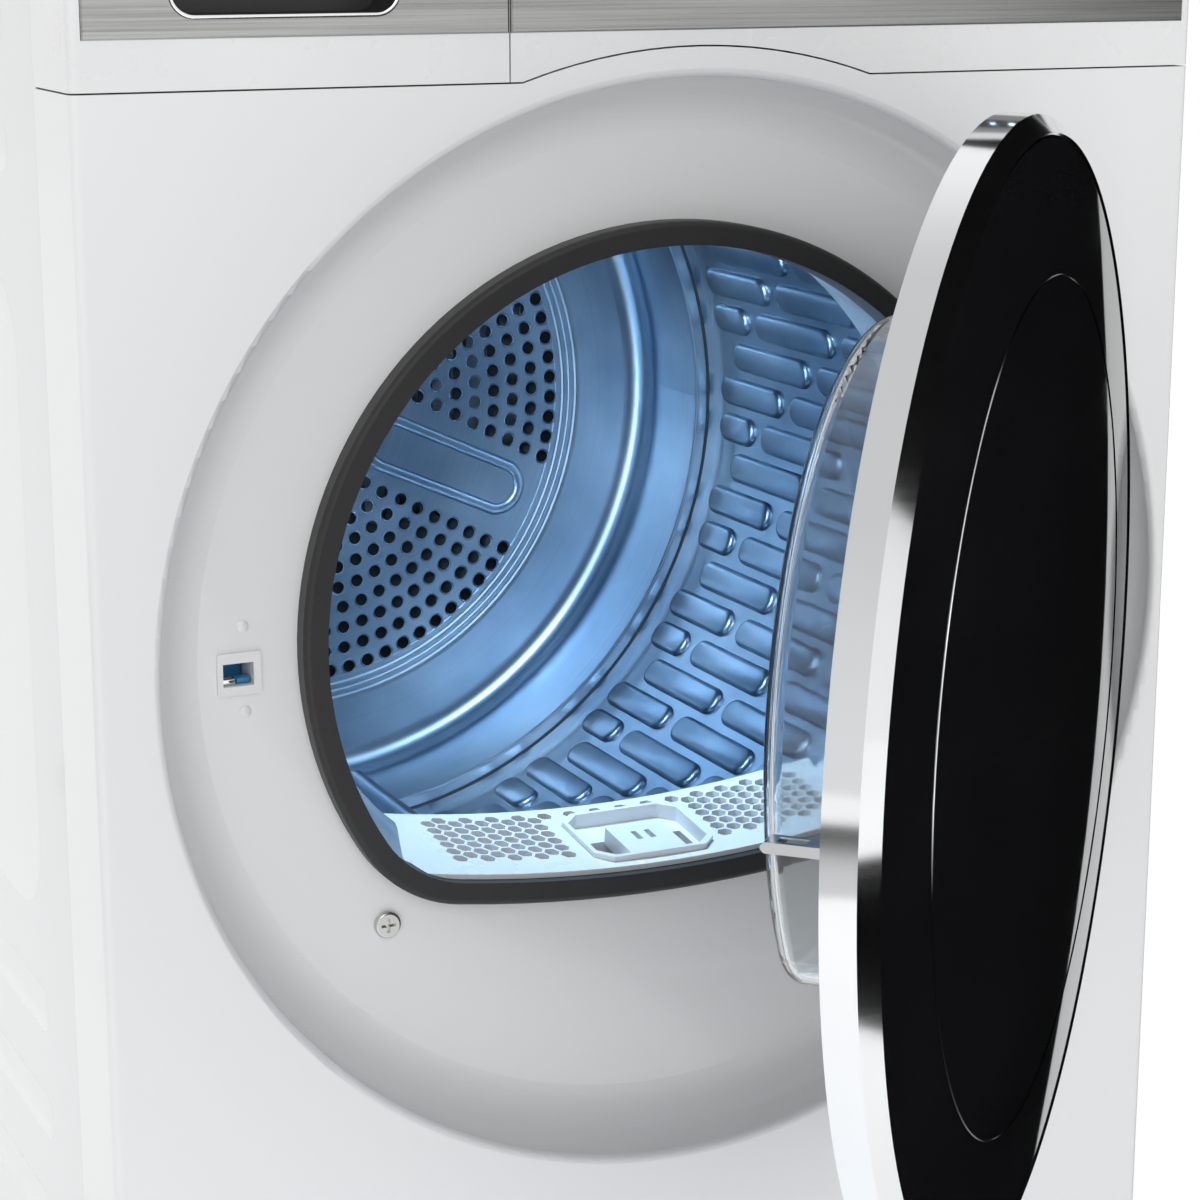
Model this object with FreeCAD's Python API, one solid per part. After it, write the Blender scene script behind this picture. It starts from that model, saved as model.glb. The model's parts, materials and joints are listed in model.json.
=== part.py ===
"""Front-loading heat-pump clothes dryer, modelled in millimetres.

Frame: +X to the right of someone facing the front, +Y to the back, +Z up.
The origin is on the floor under the middle of the cabinet. The door rests part open.
"""
import FreeCAD, Part
import math
import os

V = FreeCAD.Vector

# ---- cabinet ------------------------------------------------------------------------------
width = 595.0
depth = 650.0
height = 845.0
front = -depth / 2
back = depth / 2
wall = 2.0                # moulded and pressed panel wall
sheet = 1.0               # flat sheet steel
side_inset = 1.0          # side sheets lie this far inside the overall width
return_depth = 61.5       # how far the front panels wrap round the sides
edge_round = 4.0
rear_step = 10.0          # the rear cover's raised middle stands this far proud of its rim
floor_gap = 16.0          # underside of the base pan above the floor
top_thickness = 20.0
joint_gap = 0.8           # line between two front panels
half = width / 2
cap_z = height - top_thickness
side_rear = depth - rear_step
pan_floor = 3.0
pan_wall = 3.0
pan_height = 44.0
pan_front = 8.0
pan_rear = 636.0
pan_top = floor_gap + pan_height

# ---- recess, door opening -----------------------------------------------------------------
recess_x = 12.0
recess_z = 435.0
recess_r = 277.4
recess_depth = 33.0
recess_lip = 4.0
recess_wall_r = 27.0
opening_x = 11.6
opening_z = 441.3
opening_r = 199.8         # outside of the gasket
opening_bottom = 293.5
opening_bow = 760.0       # radius of the bowed bottom edge
opening_corner = 70.0
gasket_width = 12.0
gasket_lip = 6.0          # half of the gasket that passes through the panel
gasket_stand = 11.5       # how far the gasket stands out of the recess floor
tunnel_y = 41.0
tunnel_end = 92.0
tunnel_wall = 2.5
mouth_r = 183.0
mouth_bottom = 309.0
mouth_corner = 30.0
bulkhead_wall = 2.5
boss_x = -144.6           # screw low in the recess
boss_z = 295.4

# ---- drum ---------------------------------------------------------------------------------
drum_x = 8.0
drum_z = 461.0
drum_r = 283.0
drum_sheet = 1.0
drum_front = 78.0
drum_rear = 515.0
drum_lip_r = 236.0
rear_ring_r = 266.0
rear_well = 83.0          # depth of the pressed well behind the rear ring
plate_r = 200.0
plate_y = 600.0
hole_r = 4.5
hole_pitch = 14.3
row_pitch = 14.4
first_row_r = 62.0
bead_half = 21.0
bead_count = 3
bead_turn = 5.5
lifter_height = 52.0
lifter_turn = 88.0
shaft_r = 10.0
fit = 0.05                # radial clearance of a running fit
slip = 0.3                # clearance of faces that pass each other

# ---- door ---------------------------------------------------------------------------------
door_x = 10.0
door_rear = 14.0
ring_r = 268.4
ring_side = 14.7
ring_front = 21.8
glass_r = 259.7
ring_wall = 2.0
glass_dome = 12.0
glass_wall = 4.0
bowl_inset = 30.0
bowl_depth = 55.0
bowl_wall = 3.5
door_open = 44.6
hinge_reach = 251.1
hinge_forward = 12.0
pin_r = 3.0
knuckle_r = 5.0
arm_reach = 24.0
arm_wall = 4.0
arm_half = 31.0
hook_x = -218.0
hook_z = 433.7
hook_length = 34.0
hook_width = 11.0
hook_wall = 4.6
latch_half_x = 9.6
latch_half_z = 8.6
latch_back = 64.0
hinge_x = door_x + hinge_reach
hinge_y = door_rear - hinge_forward
side_y = door_rear - ring_side
glass_y = door_rear - ring_front

# ---- control panel and tank drawer --------------------------------------------------------
seam_z = 711.2
fascia_z = seam_z + joint_gap
arch_r = 292.0
split_x = -88.0
strip_bottom = 734.6
strip_top = 819.0
strip_proud = 1.0
strip_inlay = 1.5
control_z = 780.5
knob_x = 60.0
knob_r = 27.0
knob_length = 20.0
power_x = -30.0
start_x = 248.0
button_r = 9.0
button_travel = 2.0
display_left = 118.0
display_right = 216.0
display_half = 17.0
grip_left = -252.0
grip_right = -142.0
grip_bottom = 743.0
grip_top = 787.0
grip_depth = 28.0
grip_corner = 12.0
board_y = 36.0
board_wall = 1.6
tank_bottom = 752.0
tank_top = 814.0
tank_left = -284.0
tank_right = -106.0
tank_front_y = return_depth
tank_rear_y = 505.0

# ---- lint grille and filter ---------------------------------------------------------------
grille_front = 27.0
grille_rear = 104.0
grille_low = 308.5
grille_rise = 9.5
grille_wall = 3.0
hex_across = 7.4
hex_web = 1.4
hex_margin = 5.0          # plain border round the filter
grille_half = 160.0
filter_x = 8.6
filter_half = 34.6
filter_wall = 2.4
filter_sink = 7.0         # depth of the filter's tray below the grille
filter_step = 1.4          # the ledge that lies over the gasket
filter_corner = 8.0
handle_half = 16.0
handle_slot = 3.2
handle_slot_gap = 7.7
filter_front = 33.0
filter_rear = 90.0
pocket_front = 46.0
pocket_rear = 70.0
pocket_bottom = 214.0
window_top = 294.0

# ---- machinery ----------------------------------------------------------------------------
motor_x = 185.0
motor_z = 110.0
motor_r = 50.0
motor_front = 190.0
motor_rear = 330.0
rotor_r = 6.0
pulley_r = 9.0
belt_y = 350.0
belt_width = 10.0
belt_wall = 1.6
blower_r = 68.0
blower_front = 100.0
blower_rear = 145.0
blower_x0 = motor_x - blower_r - 12
blower_x1 = motor_x + blower_r + 14
blower_y0 = blower_front - 8
blower_y1 = blower_rear + 8
blower_z0 = motor_z - blower_r - 10
blower_z1 = motor_z + blower_r + 12
roller_r = 22.0
roller_axle_r = 5.0
roller_turn = 40.0        # support rollers stand this far either side of straight down
roller_front = 84.0
roller_rear = 102.0
idler_x = 92.0
idler_r = 13.0
compressor_x = 225.0
compressor_y = 470.0
compressor_r = 52.0
compressor_top = 188.0
compressor_base = 46.0
inlet_x = -235.0
inlet_z = 760.0
spigot_x = 235.0
spigot_z = 740.0
pipe_r = 4.0
duct_left = -284.0
duct_right = -72.0
duct_front = 70.0
duct_rear = 570.0
duct_top = 166.0
duct_bottom = 40.0
foot_r = 20.0
foot_height = 10.0
foot_stud_r = 5.0
foot_x = 245.0
foot_front = 55.0
foot_rear = 585.0

parts = {}


def box(x0, x1, y0, y1, z0, z1):
    """Box between two corners; y counts back from the front face."""
    return Part.makeBox(x1 - x0, y1 - y0, z1 - z0, V(x0, front + y0, z0))


def rod_y(x, z, radius, y0, y1):
    return Part.makeCylinder(radius, y1 - y0, V(x, front + y0, z), V(0, 1, 0))


def tube_y(x, z, outer, inner, y0, y1):
    return rod_y(x, z, outer, y0, y1).cut(rod_y(x, z, inner, y0, y1))


def rod_z(x, y, radius, z0, z1):
    return Part.makeCylinder(radius, z1 - z0, V(x, front + y, z0))


def line(a, b):
    return Part.LineSegment(a, b).toShape()


def arc(a, middle, b):
    return Part.Arc(a, middle, b).toShape()


def spun(x, z, steps):
    """Ring about the line (x, z) along Y. Steps are (r, y) corners, or (r, y, r_mid, y_mid)
    where an arc through the middle point leads to the corner."""
    def point(r, y):
        return V(x + r, front + y, z)
    edges = []
    last = steps[-1]
    for step in steps:
        start, end = point(last[0], last[1]), point(step[0], step[1])
        edges.append(arc(start, point(step[2], step[3]), end) if len(step) > 2 else line(start, end))
        last = step
    face = Part.Face(Part.Wire(edges))
    return face.revolve(V(x, 0, z), V(0, 1, 0), 360)


def prism_y(wire, length):
    return Part.Face(wire).extrude(V(0, length, 0))


def polygon_y(points, y0, y1):
    """Prism along Y from (x, z) corners."""
    corners = [V(x, front + y0, z) for x, z in points]
    return prism_y(Part.makePolygon(corners + corners[:1]), y1 - y0)


def rounded_y(x0, x1, z0, z1, radius, y0, y1):
    """Bar along Y with four rounded long edges."""
    block = box(x0, x1, y0, y1, z0, z1)
    edges = [e for e in block.Edges if abs(e.tangentAt(e.FirstParameter).y) > 0.9]
    return block.makeFillet(radius, edges)


def opening_wire(y, grow=0.0, x=opening_x, z=opening_z, r=opening_r,
                 bottom=opening_bottom, corner=opening_corner):
    """Round outline with a flattened, slightly bowed bottom, grown outwards by grow."""
    bow_z = bottom + opening_bow
    to_bow, to_corner, reach = bow_z - z, r - corner, opening_bow - corner
    cos_turn = (to_bow ** 2 + to_corner ** 2 - reach ** 2) / (2 * to_bow * to_corner)
    sin_turn = math.sqrt(1 - cos_turn ** 2)

    def at(px, pz):
        return V(px, front + y, pz)
    ends = {}
    for side in (-1, 1):
        cx, cz = x + side * to_corner * sin_turn, z + to_corner * cos_turn
        ux, uz = (cx - x) / to_corner, (cz - z) / to_corner
        wx, wz = (cx - x) / reach, (cz - bow_z) / reach
        mx, mz = ux + wx, uz + wz
        size = math.hypot(mx, mz)
        upper = at(x + ux * (r + grow), z + uz * (r + grow))
        lower = at(x + wx * (opening_bow + grow), bow_z + wz * (opening_bow + grow))
        middle = at(cx + mx / size * (corner + grow), cz + mz / size * (corner + grow))
        ends[side] = (upper, middle, lower)
    return Part.Wire([
        arc(ends[-1][0], at(x, z + r + grow), ends[1][0]),
        arc(*ends[1]),
        arc(ends[1][2], at(x, bottom - grow), ends[-1][2]),
        arc(ends[-1][2], ends[-1][1], ends[-1][0]),
    ])


def mouth_wire(y, grow=0.0):
    """The same outline where the tunnel meets the drum."""
    return opening_wire(y, grow, drum_x, drum_z, mouth_r, mouth_bottom, mouth_corner)


def opening_prism(grow, y0, y1):
    return prism_y(opening_wire(y0, grow), y1 - y0)


def tunnel_solid(grow, y0=tunnel_y, y1=tunnel_end):
    """Solid that narrows from the door opening to the drum's mouth."""
    return Part.makeLoft([opening_wire(y0, grow - gasket_width + 1), mouth_wire(y1, grow)], True, True)


def plan_point(x, z, radius, turn):
    """Point on a circle in the XZ plane; turn is counted from +X towards +Z."""
    angle = math.radians(turn)
    return x + radius * math.cos(angle), z + radius * math.sin(angle)


def save(name, shape):
    parts[name] = shape


def group(name, shapes):
    parts[name] = Part.makeCompound(shapes)


# ---- front panel, recess, gasket ----------------------------------------------------------
def panel_body(inset, y0, y1):
    """Front panel block with its arch over the recess."""
    body = box(-half + inset, half - inset, y0, y1, floor_gap + 8 + inset, seam_z - inset)
    arch = rod_y(recess_x, recess_z, arch_r - joint_gap / 2 - inset, y0, y1)
    cap = box(recess_x - 130, recess_x + 130, y0, y1, seam_z - 60, seam_z + 60)
    return body.fuse(arch.common(cap)).removeSplitter()


def make_front_panel():
    shell = panel_body(0, 0, return_depth)
    fronts = [e for e in shell.Edges if len(e.Vertexes) == 2
              and all(abs(v.Point.y - front) < 0.01 and abs(abs(v.Point.x) - half) < 0.01
                      for v in e.Vertexes)]
    shell = shell.makeFillet(edge_round, fronts)
    shell = shell.cut(panel_body(wall, wall, return_depth + 1))
    shell = shell.cut(box(-half + wall, half - wall, wall, return_depth + 1, floor_gap, seam_z - 100))
    lip_r = recess_r + recess_lip
    dish_r = recess_r - recess_wall_r
    bend = recess_wall_r * math.sqrt(0.5)
    turn = recess_lip * math.sqrt(0.5)
    outer_bend = (recess_wall_r + wall) * math.sqrt(0.5)
    inner_y = recess_depth - recess_wall_r
    dish = spun(recess_x, recess_z, [
        (lip_r, 0),
        (recess_r, recess_lip, lip_r - turn, recess_lip - turn),
        (recess_r, inner_y),
        (dish_r, recess_depth, dish_r + bend, inner_y + bend),
        (opening_r - 60, recess_depth),
        (opening_r - 60, recess_depth + wall),
        (dish_r, recess_depth + wall),
        (recess_r + wall, inner_y, dish_r + outer_bend, inner_y + outer_bend),
        (recess_r + wall, recess_lip),
        (lip_r, wall),
    ])
    shell = shell.cut(rod_y(recess_x, recess_z, lip_r, -1, wall + 1))
    shell = shell.fuse(dish)
    shell = shell.cut(opening_prism(-gasket_lip, recess_depth - 1, recess_depth + wall + 1))
    shell = shell.cut(latch_hole(recess_depth - 1, recess_depth + wall + 1))
    for tool in plug_shanks() + [boss_shank()]:
        shell = shell.cut(tool)
    save("front_panel", shell)


def make_gasket():
    seat = recess_depth
    ring = opening_prism(0, seat - gasket_stand, seat)
    soft = [e for e in ring.Edges if abs(e.BoundBox.YMax - (front + seat - gasket_stand)) < 0.01]
    ring = ring.makeFillet(3.0, soft)
    neck = opening_prism(-gasket_lip, seat, tunnel_y)
    hole = opening_prism(-gasket_width, seat - gasket_stand - 1, tunnel_y + 1)
    save("door_gasket", ring.fuse(neck).cut(hole))


# ---- latch, plugs, recess screw -----------------------------------------------------------
def latch_hole(y0, y1, grow=0.0):
    across, up = latch_half_x + grow, latch_half_z + grow
    return box(hook_x - across, hook_x + across, y0, y1, hook_z - up, hook_z + up)


def make_latch_socket():
    bezel = rounded_y(hook_x - 11, hook_x + 11, hook_z - 10.5, hook_z + 10.5, 1.5,
                      recess_depth - 1.5, recess_depth)
    body = bezel.fuse(latch_hole(recess_depth, latch_back))
    slot = box(hook_x - 9 + 0.8, hook_x + 7.2, recess_depth - 2, latch_back - 3, hook_z - 6, hook_z + 5.4)
    body = body.cut(slot)
    tongue = box(hook_x - 2, hook_x + 6.8, latch_back - 11, latch_back - 3, hook_z - 5.6, hook_z - 4.6)
    roller = Part.makeCylinder(1.2, 8, V(hook_x - 2, front + latch_back - 9, hook_z + 4), V(1, 0, 0))
    group("latch_socket", [body, tongue, roller])


def plug_places():
    return [(-215.5, 456.7), (-215.3, 414.4)]


def plug_shanks():
    return [rod_y(x, z, 1.6, recess_depth - 1, recess_depth + 6) for x, z in plug_places()]


def make_plugs():
    caps = []
    for x, z in plug_places():
        head = Part.makeSphere(5.2, V(x, front + recess_depth + 3.9, z))
        head = head.common(rod_y(x, z, 3.0, recess_depth - 2, recess_depth))
        caps.append(head.fuse(rod_y(x, z, 1.55, recess_depth, recess_depth + 5)))
    group("plug_caps", caps)


def boss_shank():
    return rod_y(boss_x, boss_z, 3.0, recess_depth - 1, recess_depth + 8)


def screw(place, inward, head_r, shank_r, length, head_h=2.2):
    """Cross-head screw with its head outside place and its shank running inward."""
    head = Part.makeCylinder(head_r, head_h, place, inward * -1)
    rims = [e for e in head.Edges if abs((e.BoundBox.Center - place).dot(inward) + head_h) < 0.01]
    head = head.makeFillet(head_h * 0.45, rims[:1])
    shank = Part.makeCylinder(shank_r, length, place, inward)
    slot_depth = head_h * 0.6
    across = V(0, 0, 1) if abs(inward.z) < 0.5 else V(1, 0, 0)
    side = inward.cross(across)
    body = head.fuse(shank)
    for along, other in ((across, side), (side, across)):
        size = [head_r * 1.1, head_r * 0.24]
        corner = place - inward * head_h - along * (size[0] / 2) - other * (size[1] / 2)
        points = [corner, corner + along * size[0], corner + along * size[0] + other * size[1],
                  corner + other * size[1]]
        blade = Part.Face(Part.makePolygon(points + points[:1])).extrude(inward * slot_depth)
        body = body.cut(blade)
    return body


# ---- control panel ------------------------------------------------------------------------
def strip_block(x0, x1, y0, y1, trim=0.0):
    return box(x0 + trim, x1 - trim, y0, y1, strip_bottom + trim, strip_top - trim)


def control_cuts(y0, y1, clearance):
    """Holes for the knob shaft, the buttons and the display."""
    cuts = [rod_y(knob_x, control_z, 3.0 + fit + clearance, y0, y1)]
    for x in (power_x, start_x):
        cuts.append(rod_y(x, control_z, button_r + slip + clearance, y0, y1))
    cuts.append(rounded_y(display_left - clearance, display_right + clearance,
                          control_z - display_half - clearance,
                          control_z + display_half + clearance, 4, y0, y1))
    return cuts


def make_fascia():
    left, right = split_x + joint_gap / 2, half
    body = box(left, right, 0, return_depth, fascia_z, cap_z)
    edge = [e for e in body.Edges if abs(e.tangentAt(e.FirstParameter).z) > 0.9
            and abs(e.BoundBox.Center.x - half) < 0.01 and abs(e.BoundBox.Center.y - front) < 0.01]
    body = body.makeFillet(edge_round, edge)
    body = body.cut(rod_y(recess_x, recess_z, arch_r + joint_gap / 2, -1, return_depth + 1))
    inner = box(left + wall, right - wall, wall + strip_inlay, return_depth + 1,
                fascia_z + wall, cap_z - wall)
    inner = inner.cut(rod_y(recess_x, recess_z, arch_r + wall + joint_gap, -1, return_depth + 2))
    body = body.cut(inner)
    body = body.cut(strip_block(left, right - 6, -1, strip_inlay))
    for x in (split_x + 20, 280.0):
        for z in (748.0, 808.0):
            post = rod_y(x, z, 3.5, wall + strip_inlay, board_y)
            body = body.fuse(post.cut(rod_y(x, z, 1.5, board_y - 8, board_y)))
    for cut in control_cuts(-1, wall + strip_inlay + 1, 0):
        body = body.cut(cut)
    save("control_fascia", body)
    trim = strip_block(left + 0.2, right - 6.2, -strip_proud, strip_inlay, 0.0)
    low = [e for e in trim.Edges if abs(e.BoundBox.YMax - (front - strip_proud)) < 0.01]
    trim = trim.makeChamfer(0.8, low)
    for cut in control_cuts(-strip_proud - 1, strip_inlay + 1, 0):
        trim = trim.cut(cut)
    save("fascia_trim", trim)


def make_controls():
    window = rounded_y(display_left + 0.2, display_right - 0.2, control_z - display_half + 0.2,
                       control_z + display_half - 0.2, 3.8, -strip_proud - 0.3, wall + strip_inlay)
    save("display_window", window)
    bezel = spun(knob_x, control_z, [(knob_r + 1, -strip_proud), (knob_r + 5, -strip_proud),
                                     (knob_r + 4, -strip_proud - 2.5), (knob_r + 1, -strip_proud - 2.5)])
    save("knob_bezel", bezel)
    board = box(split_x + 14, 286, board_y, board_y + board_wall, 742, 814)
    relay = box(-60, -20, board_y + board_wall, board_y + 18, 750, 770)
    screen = box(display_left + 8, display_right - 8, wall + strip_inlay + 0.3, board_y,
                 control_z - 12, control_z + 12)
    encoder = tube_y(knob_x, control_z, 7, 3 + fit, 24, board_y)
    board = board.fuse([relay, screen, encoder])
    for x in (power_x, start_x):
        board = board.fuse(box(x - 4, x + 4, board_y - 6, board_y, control_z - 4, control_z + 4))
    board = board.cut(rod_y(knob_x, control_z, 3 + fit, 20, board_y + 3))
    save("control_board", board)
    dial = spun(knob_x, control_z, [
        (0, -strip_proud - 0.5), (knob_r, -strip_proud - 0.5), (knob_r, -knob_length + 1),
        (knob_r - 1.5, -knob_length - 0.5), (0, -knob_length - 0.5)])
    dial = dial.fuse(rod_y(knob_x, control_z, 3, -2, board_y))
    dial = dial.cut(box(knob_x - 0.8, knob_x + 0.8, -knob_length - 2, -knob_length + 0.3,
                        control_z + 14, control_z + 24))
    save("programme_knob", dial)
    for name, x in (("power_button", power_x), ("start_button", start_x)):
        cap = rod_y(x, control_z, button_r, -strip_proud - 2.2, 5)
        rim = [e for e in cap.Edges if abs(e.BoundBox.YMax - (front - strip_proud - 2.2)) < 0.01]
        cap = cap.makeFillet(0.8, rim)
        cap = cap.fuse(rod_y(x, control_z, 2.5, 5, board_y - 6 - button_travel - slip))
        save(name, cap)


# ---- water tank drawer --------------------------------------------------------------------
def make_tank():
    left, right = -half, split_x - joint_gap / 2
    shell = box(left, right, 0, tank_front_y, fascia_z, cap_z)
    edge = [e for e in shell.Edges if abs(e.tangentAt(e.FirstParameter).z) > 0.9
            and abs(e.BoundBox.Center.x + half) < 0.01 and abs(e.BoundBox.Center.y - front) < 0.01]
    shell = shell.makeFillet(edge_round, edge)
    shell = shell.cut(box(left + wall, right - wall, wall + strip_inlay, tank_front_y + 1,
                          fascia_z + wall, cap_z - wall))
    shell = shell.cut(strip_block(left + 6, right, -1, strip_inlay))
    shell = shell.cut(box(left, right, -1, tank_front_y + 1, cap_z - joint_gap, cap_z + 1))
    for x0 in (tank_left + 4, tank_right - 22):
        shell = shell.fuse(box(x0, x0 + 18, wall, tank_front_y, tank_bottom + 8, tank_top - 8))
    hole = rounded_y(grip_left, grip_right, grip_bottom, grip_top, grip_corner, -5, wall + strip_inlay + 1)
    save("tank_front", shell.cut(hole))
    trim = strip_block(left + 6.2, right - 0.2, -strip_proud, strip_inlay)
    low = [e for e in trim.Edges if abs(e.BoundBox.YMax - (front - strip_proud)) < 0.01]
    save("tank_trim", trim.makeChamfer(0.8, low).cut(hole))
    gap = 0.2
    cup = rounded_y(grip_left + gap, grip_right - gap, grip_bottom + gap, grip_top - gap,
                    grip_corner - gap, -strip_proud - 0.4, grip_depth)
    hollow = rounded_y(grip_left + wall, grip_right - wall, grip_bottom + wall, grip_top - wall,
                       grip_corner - wall, -3, grip_depth - wall)
    save("tank_grip", cup.cut(hollow))
    body = box(tank_left, tank_right, tank_front_y, tank_rear_y, tank_bottom, tank_top)
    long_edges = [e for e in body.Edges if abs(e.tangentAt(e.FirstParameter).y) > 0.9]
    body = body.makeFillet(8, long_edges)
    body = body.cut(box(tank_left + wall, tank_right - wall, tank_front_y + wall, tank_rear_y - wall,
                        tank_bottom + wall, tank_top - wall))
    body = body.cut(rod_z(tank_left + 40, tank_rear_y - 45, 18, tank_top - 5, tank_top + 5))
    save("tank_body", body)
    gap = 2.0
    tray = box(tank_left - gap - wall, tank_right + gap + wall, tank_front_y + 12, tank_rear_y + 12,
               tank_bottom - slip - wall, tank_top + 2)
    tray = tray.cut(box(tank_left - gap, tank_right + gap, tank_front_y + 11, tank_rear_y + 12 - wall,
                        tank_bottom - slip, tank_top + 5))
    flange = box(-half + side_inset + sheet, tank_left - gap - wall, tank_front_y + 40, tank_rear_y,
                 tank_top - 20, tank_top - 18)
    save("tank_housing", tray.fuse(flange))


# ---- casing -------------------------------------------------------------------------------
def make_sides():
    for name, sign in (("left_side_panel", -1), ("right_side_panel", 1)):
        outer = half - side_inset
        xs = sorted((sign * outer, sign * (outer - sheet)))
        skin = box(xs[0], xs[1], return_depth, side_rear, floor_gap + 8, cap_z)
        fold = sorted((sign * outer, sign * (outer - 14)))
        skin = skin.fuse(box(fold[0], fold[1], side_rear - sheet, side_rear, floor_gap + 8, cap_z))
        bead = sorted((sign * outer, sign * (outer + side_inset)))
        frame_out = box(bead[0], bead[1], return_depth + 60, side_rear - 60, 290, 620)
        frame_out = frame_out.cut(box(bead[0] - 1, bead[1] + 1, return_depth + 78, side_rear - 78, 308, 602))
        skin = skin.fuse(frame_out)
        for z in (120, 180, 240, 680, 740):
            skin = skin.fuse(box(bead[0], bead[1], return_depth + 60, side_rear - 60, z - 5, z + 5))
        for place in rear_screw_places():
            skin = skin.cut(Part.makeCylinder(2.0, 8, place + V(0, 2, 0), V(0, -1, 0)))
        save(name, skin)


def make_rear_and_top():
    outer = half - side_inset - 2
    plate = box(-outer, outer, side_rear, side_rear + sheet, floor_gap + 8, cap_z)
    bump = spun(drum_x, drum_z, [
        (0, depth - sheet), (0, depth), (205, depth), (222, side_rear + sheet),
        (222, side_rear), (220, side_rear), (204, depth - sheet)])
    plate = plate.cut(rod_y(drum_x, drum_z, 220, side_rear - 1, side_rear + 5)).fuse(bump)
    for row in range(9):
        z = 90 + row * 11
        plate = plate.cut(box(-230, -110, side_rear - 1, side_rear + 3, z, z + 4))
    for row in range(6):
        z = 110 + row * 11
        plate = plate.cut(box(120, 215, side_rear - 1, side_rear + 3, z, z + 4))
    plate = plate.cut(box(inlet_x - 14, inlet_x + 14, side_rear - 1, side_rear + 3,
                          inlet_z - 11, inlet_z + 11))
    plate = plate.cut(rod_y(spigot_x, spigot_z, 9, side_rear - 1, side_rear + 3))
    for place in rear_screw_places():
        plate = plate.cut(Part.makeCylinder(2.0, 8, place + V(0, 2, 0), V(0, -1, 0)))
    save("rear_cover", plate)
    lid = box(-half, half, 0, depth - 2, cap_z, height)
    tops = [e for e in lid.Edges if abs(e.tangentAt(e.FirstParameter).z) > 0.9]
    lid = lid.makeFillet(edge_round, tops)
    upper = [e for e in lid.Edges if e.BoundBox.ZMin > height - 0.01]
    lid = lid.makeFillet(3.0, upper)
    lid = lid.cut(box(-half + 3, half - 3, 3, depth - 5, cap_z - 1, height - 3))
    save("top_cover", lid)


def rear_screw_places():
    y = back - rear_step + sheet
    places = []
    for x in (-285.0, 285.0):
        for z in (76.0, 250.0, 440.0, 630.0, 800.0):
            places.append(V(x, y, z))
    return places


def make_rear_fittings():
    inlet = box(inlet_x - 18, inlet_x + 18, side_rear + sheet, side_rear + sheet + 3,
                inlet_z - 15, inlet_z + 15)
    inlet = inlet.fuse(box(inlet_x - 13.5, inlet_x + 13.5, side_rear - 22, side_rear + sheet,
                           inlet_z - 10.5, inlet_z + 10.5))
    inlet = inlet.cut(box(inlet_x - 12, inlet_x + 12, side_rear - 16, side_rear + 8,
                          inlet_z - 8, inlet_z + 8))
    pins = [box(inlet_x + dx - 1, inlet_x + dx + 1, side_rear - 16, side_rear - 2,
                inlet_z + dz - 2, inlet_z + dz + 2) for dx, dz in ((-7, -2), (0, 2), (7, -2))]
    save("power_inlet", inlet.fuse(pins))
    spigot = tube_y(spigot_x, spigot_z, 8.5, 6, side_rear - 20, depth - 1)
    spigot = spigot.fuse(tube_y(spigot_x, spigot_z, 14, 6, side_rear + sheet, side_rear + sheet + 2))
    save("drain_spigot", spigot)
    screws = [screw(p, V(0, -1, 0), 4.0, 1.95, 10) for p in rear_screw_places()]
    screws.append(screw(V(boss_x, front + recess_depth, boss_z), V(0, 1, 0), 7.0, 2.95, 6, 3.0))
    group("cabinet_screws", screws)


# ---- base, feet ---------------------------------------------------------------------------
def foot_places():
    return {"foot_front_left": (-foot_x, foot_front), "foot_front_right": (foot_x, foot_front),
            "foot_rear_left": (-foot_x, foot_rear), "foot_rear_right": (foot_x, foot_rear)}


def make_base():
    edge = half - 6
    top = floor_gap + pan_height
    pan = box(-edge, edge, pan_front, pan_rear, floor_gap, top)
    pan = pan.cut(box(-edge + pan_wall, edge - pan_wall, pan_front + pan_wall, pan_rear - pan_wall,
                      floor_gap + pan_floor, top + 1))
    floor_top = floor_gap + pan_floor
    for x, y in foot_places().values():
        pan = pan.fuse(rod_z(x, y, 10, floor_top, floor_top + 10))
        pan = pan.cut(rod_z(x, y, foot_stud_r + fit, floor_gap - 1, floor_top + 11))
    for x in (motor_x - 40, motor_x + 40):
        pan = pan.fuse(box(x - 8, x + 8, motor_front + 10, motor_rear - 10, floor_top, motor_z - motor_r - 4))
    pan = pan.fuse(box(duct_left + 10, duct_right - 10, duct_front + 20, duct_rear - 20,
                       floor_top, duct_bottom))
    for turn in (90, 210, 330):
        x, y = compressor_foot(turn)
        pan = pan.fuse(rod_z(x, y, 9, floor_top, compressor_base - 6))
    post_x, post_z = idler_place()
    pan = pan.fuse(box(post_x - 8, post_x + 8, belt_y + belt_width + 8, belt_y + belt_width + 14,
                       floor_top, post_z + 8))
    pan = pan.fuse(rod_y(post_x, post_z, 4, belt_y - 6, belt_y + belt_width + 8))
    pan = pan.fuse(box(blower_x0 + 4, blower_x1 - 4, blower_y0 + 4, blower_y1 - 4, floor_top, blower_z0))
    save("base_pan", pan)
    for name, (x, y) in foot_places().items():
        pad = rod_z(x, y, foot_r, 0, foot_height)
        rim = [e for e in pad.Edges if len(e.Vertexes) == 1 and e.BoundBox.ZMin > foot_height - 0.01]
        pad = pad.makeFillet(2, rim)
        save(name, pad.fuse(rod_z(x, y, foot_stud_r, foot_height, floor_top + 26)))


# ---- front bulkhead, grille, filter, lamp -------------------------------------------------
def roller_places():
    reach = drum_r + drum_sheet + roller_r + slip
    return {"roller_left": plan_point(drum_x, drum_z, reach, -90 - roller_turn),
            "roller_right": plan_point(drum_x, drum_z, reach, -90 + roller_turn)}


def filter_slot(grow, y0, y1, z0, z1):
    return box(filter_x - filter_half + 4 - grow, filter_x + filter_half - 4 + grow,
               y0, y1, z0, z1)


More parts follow.
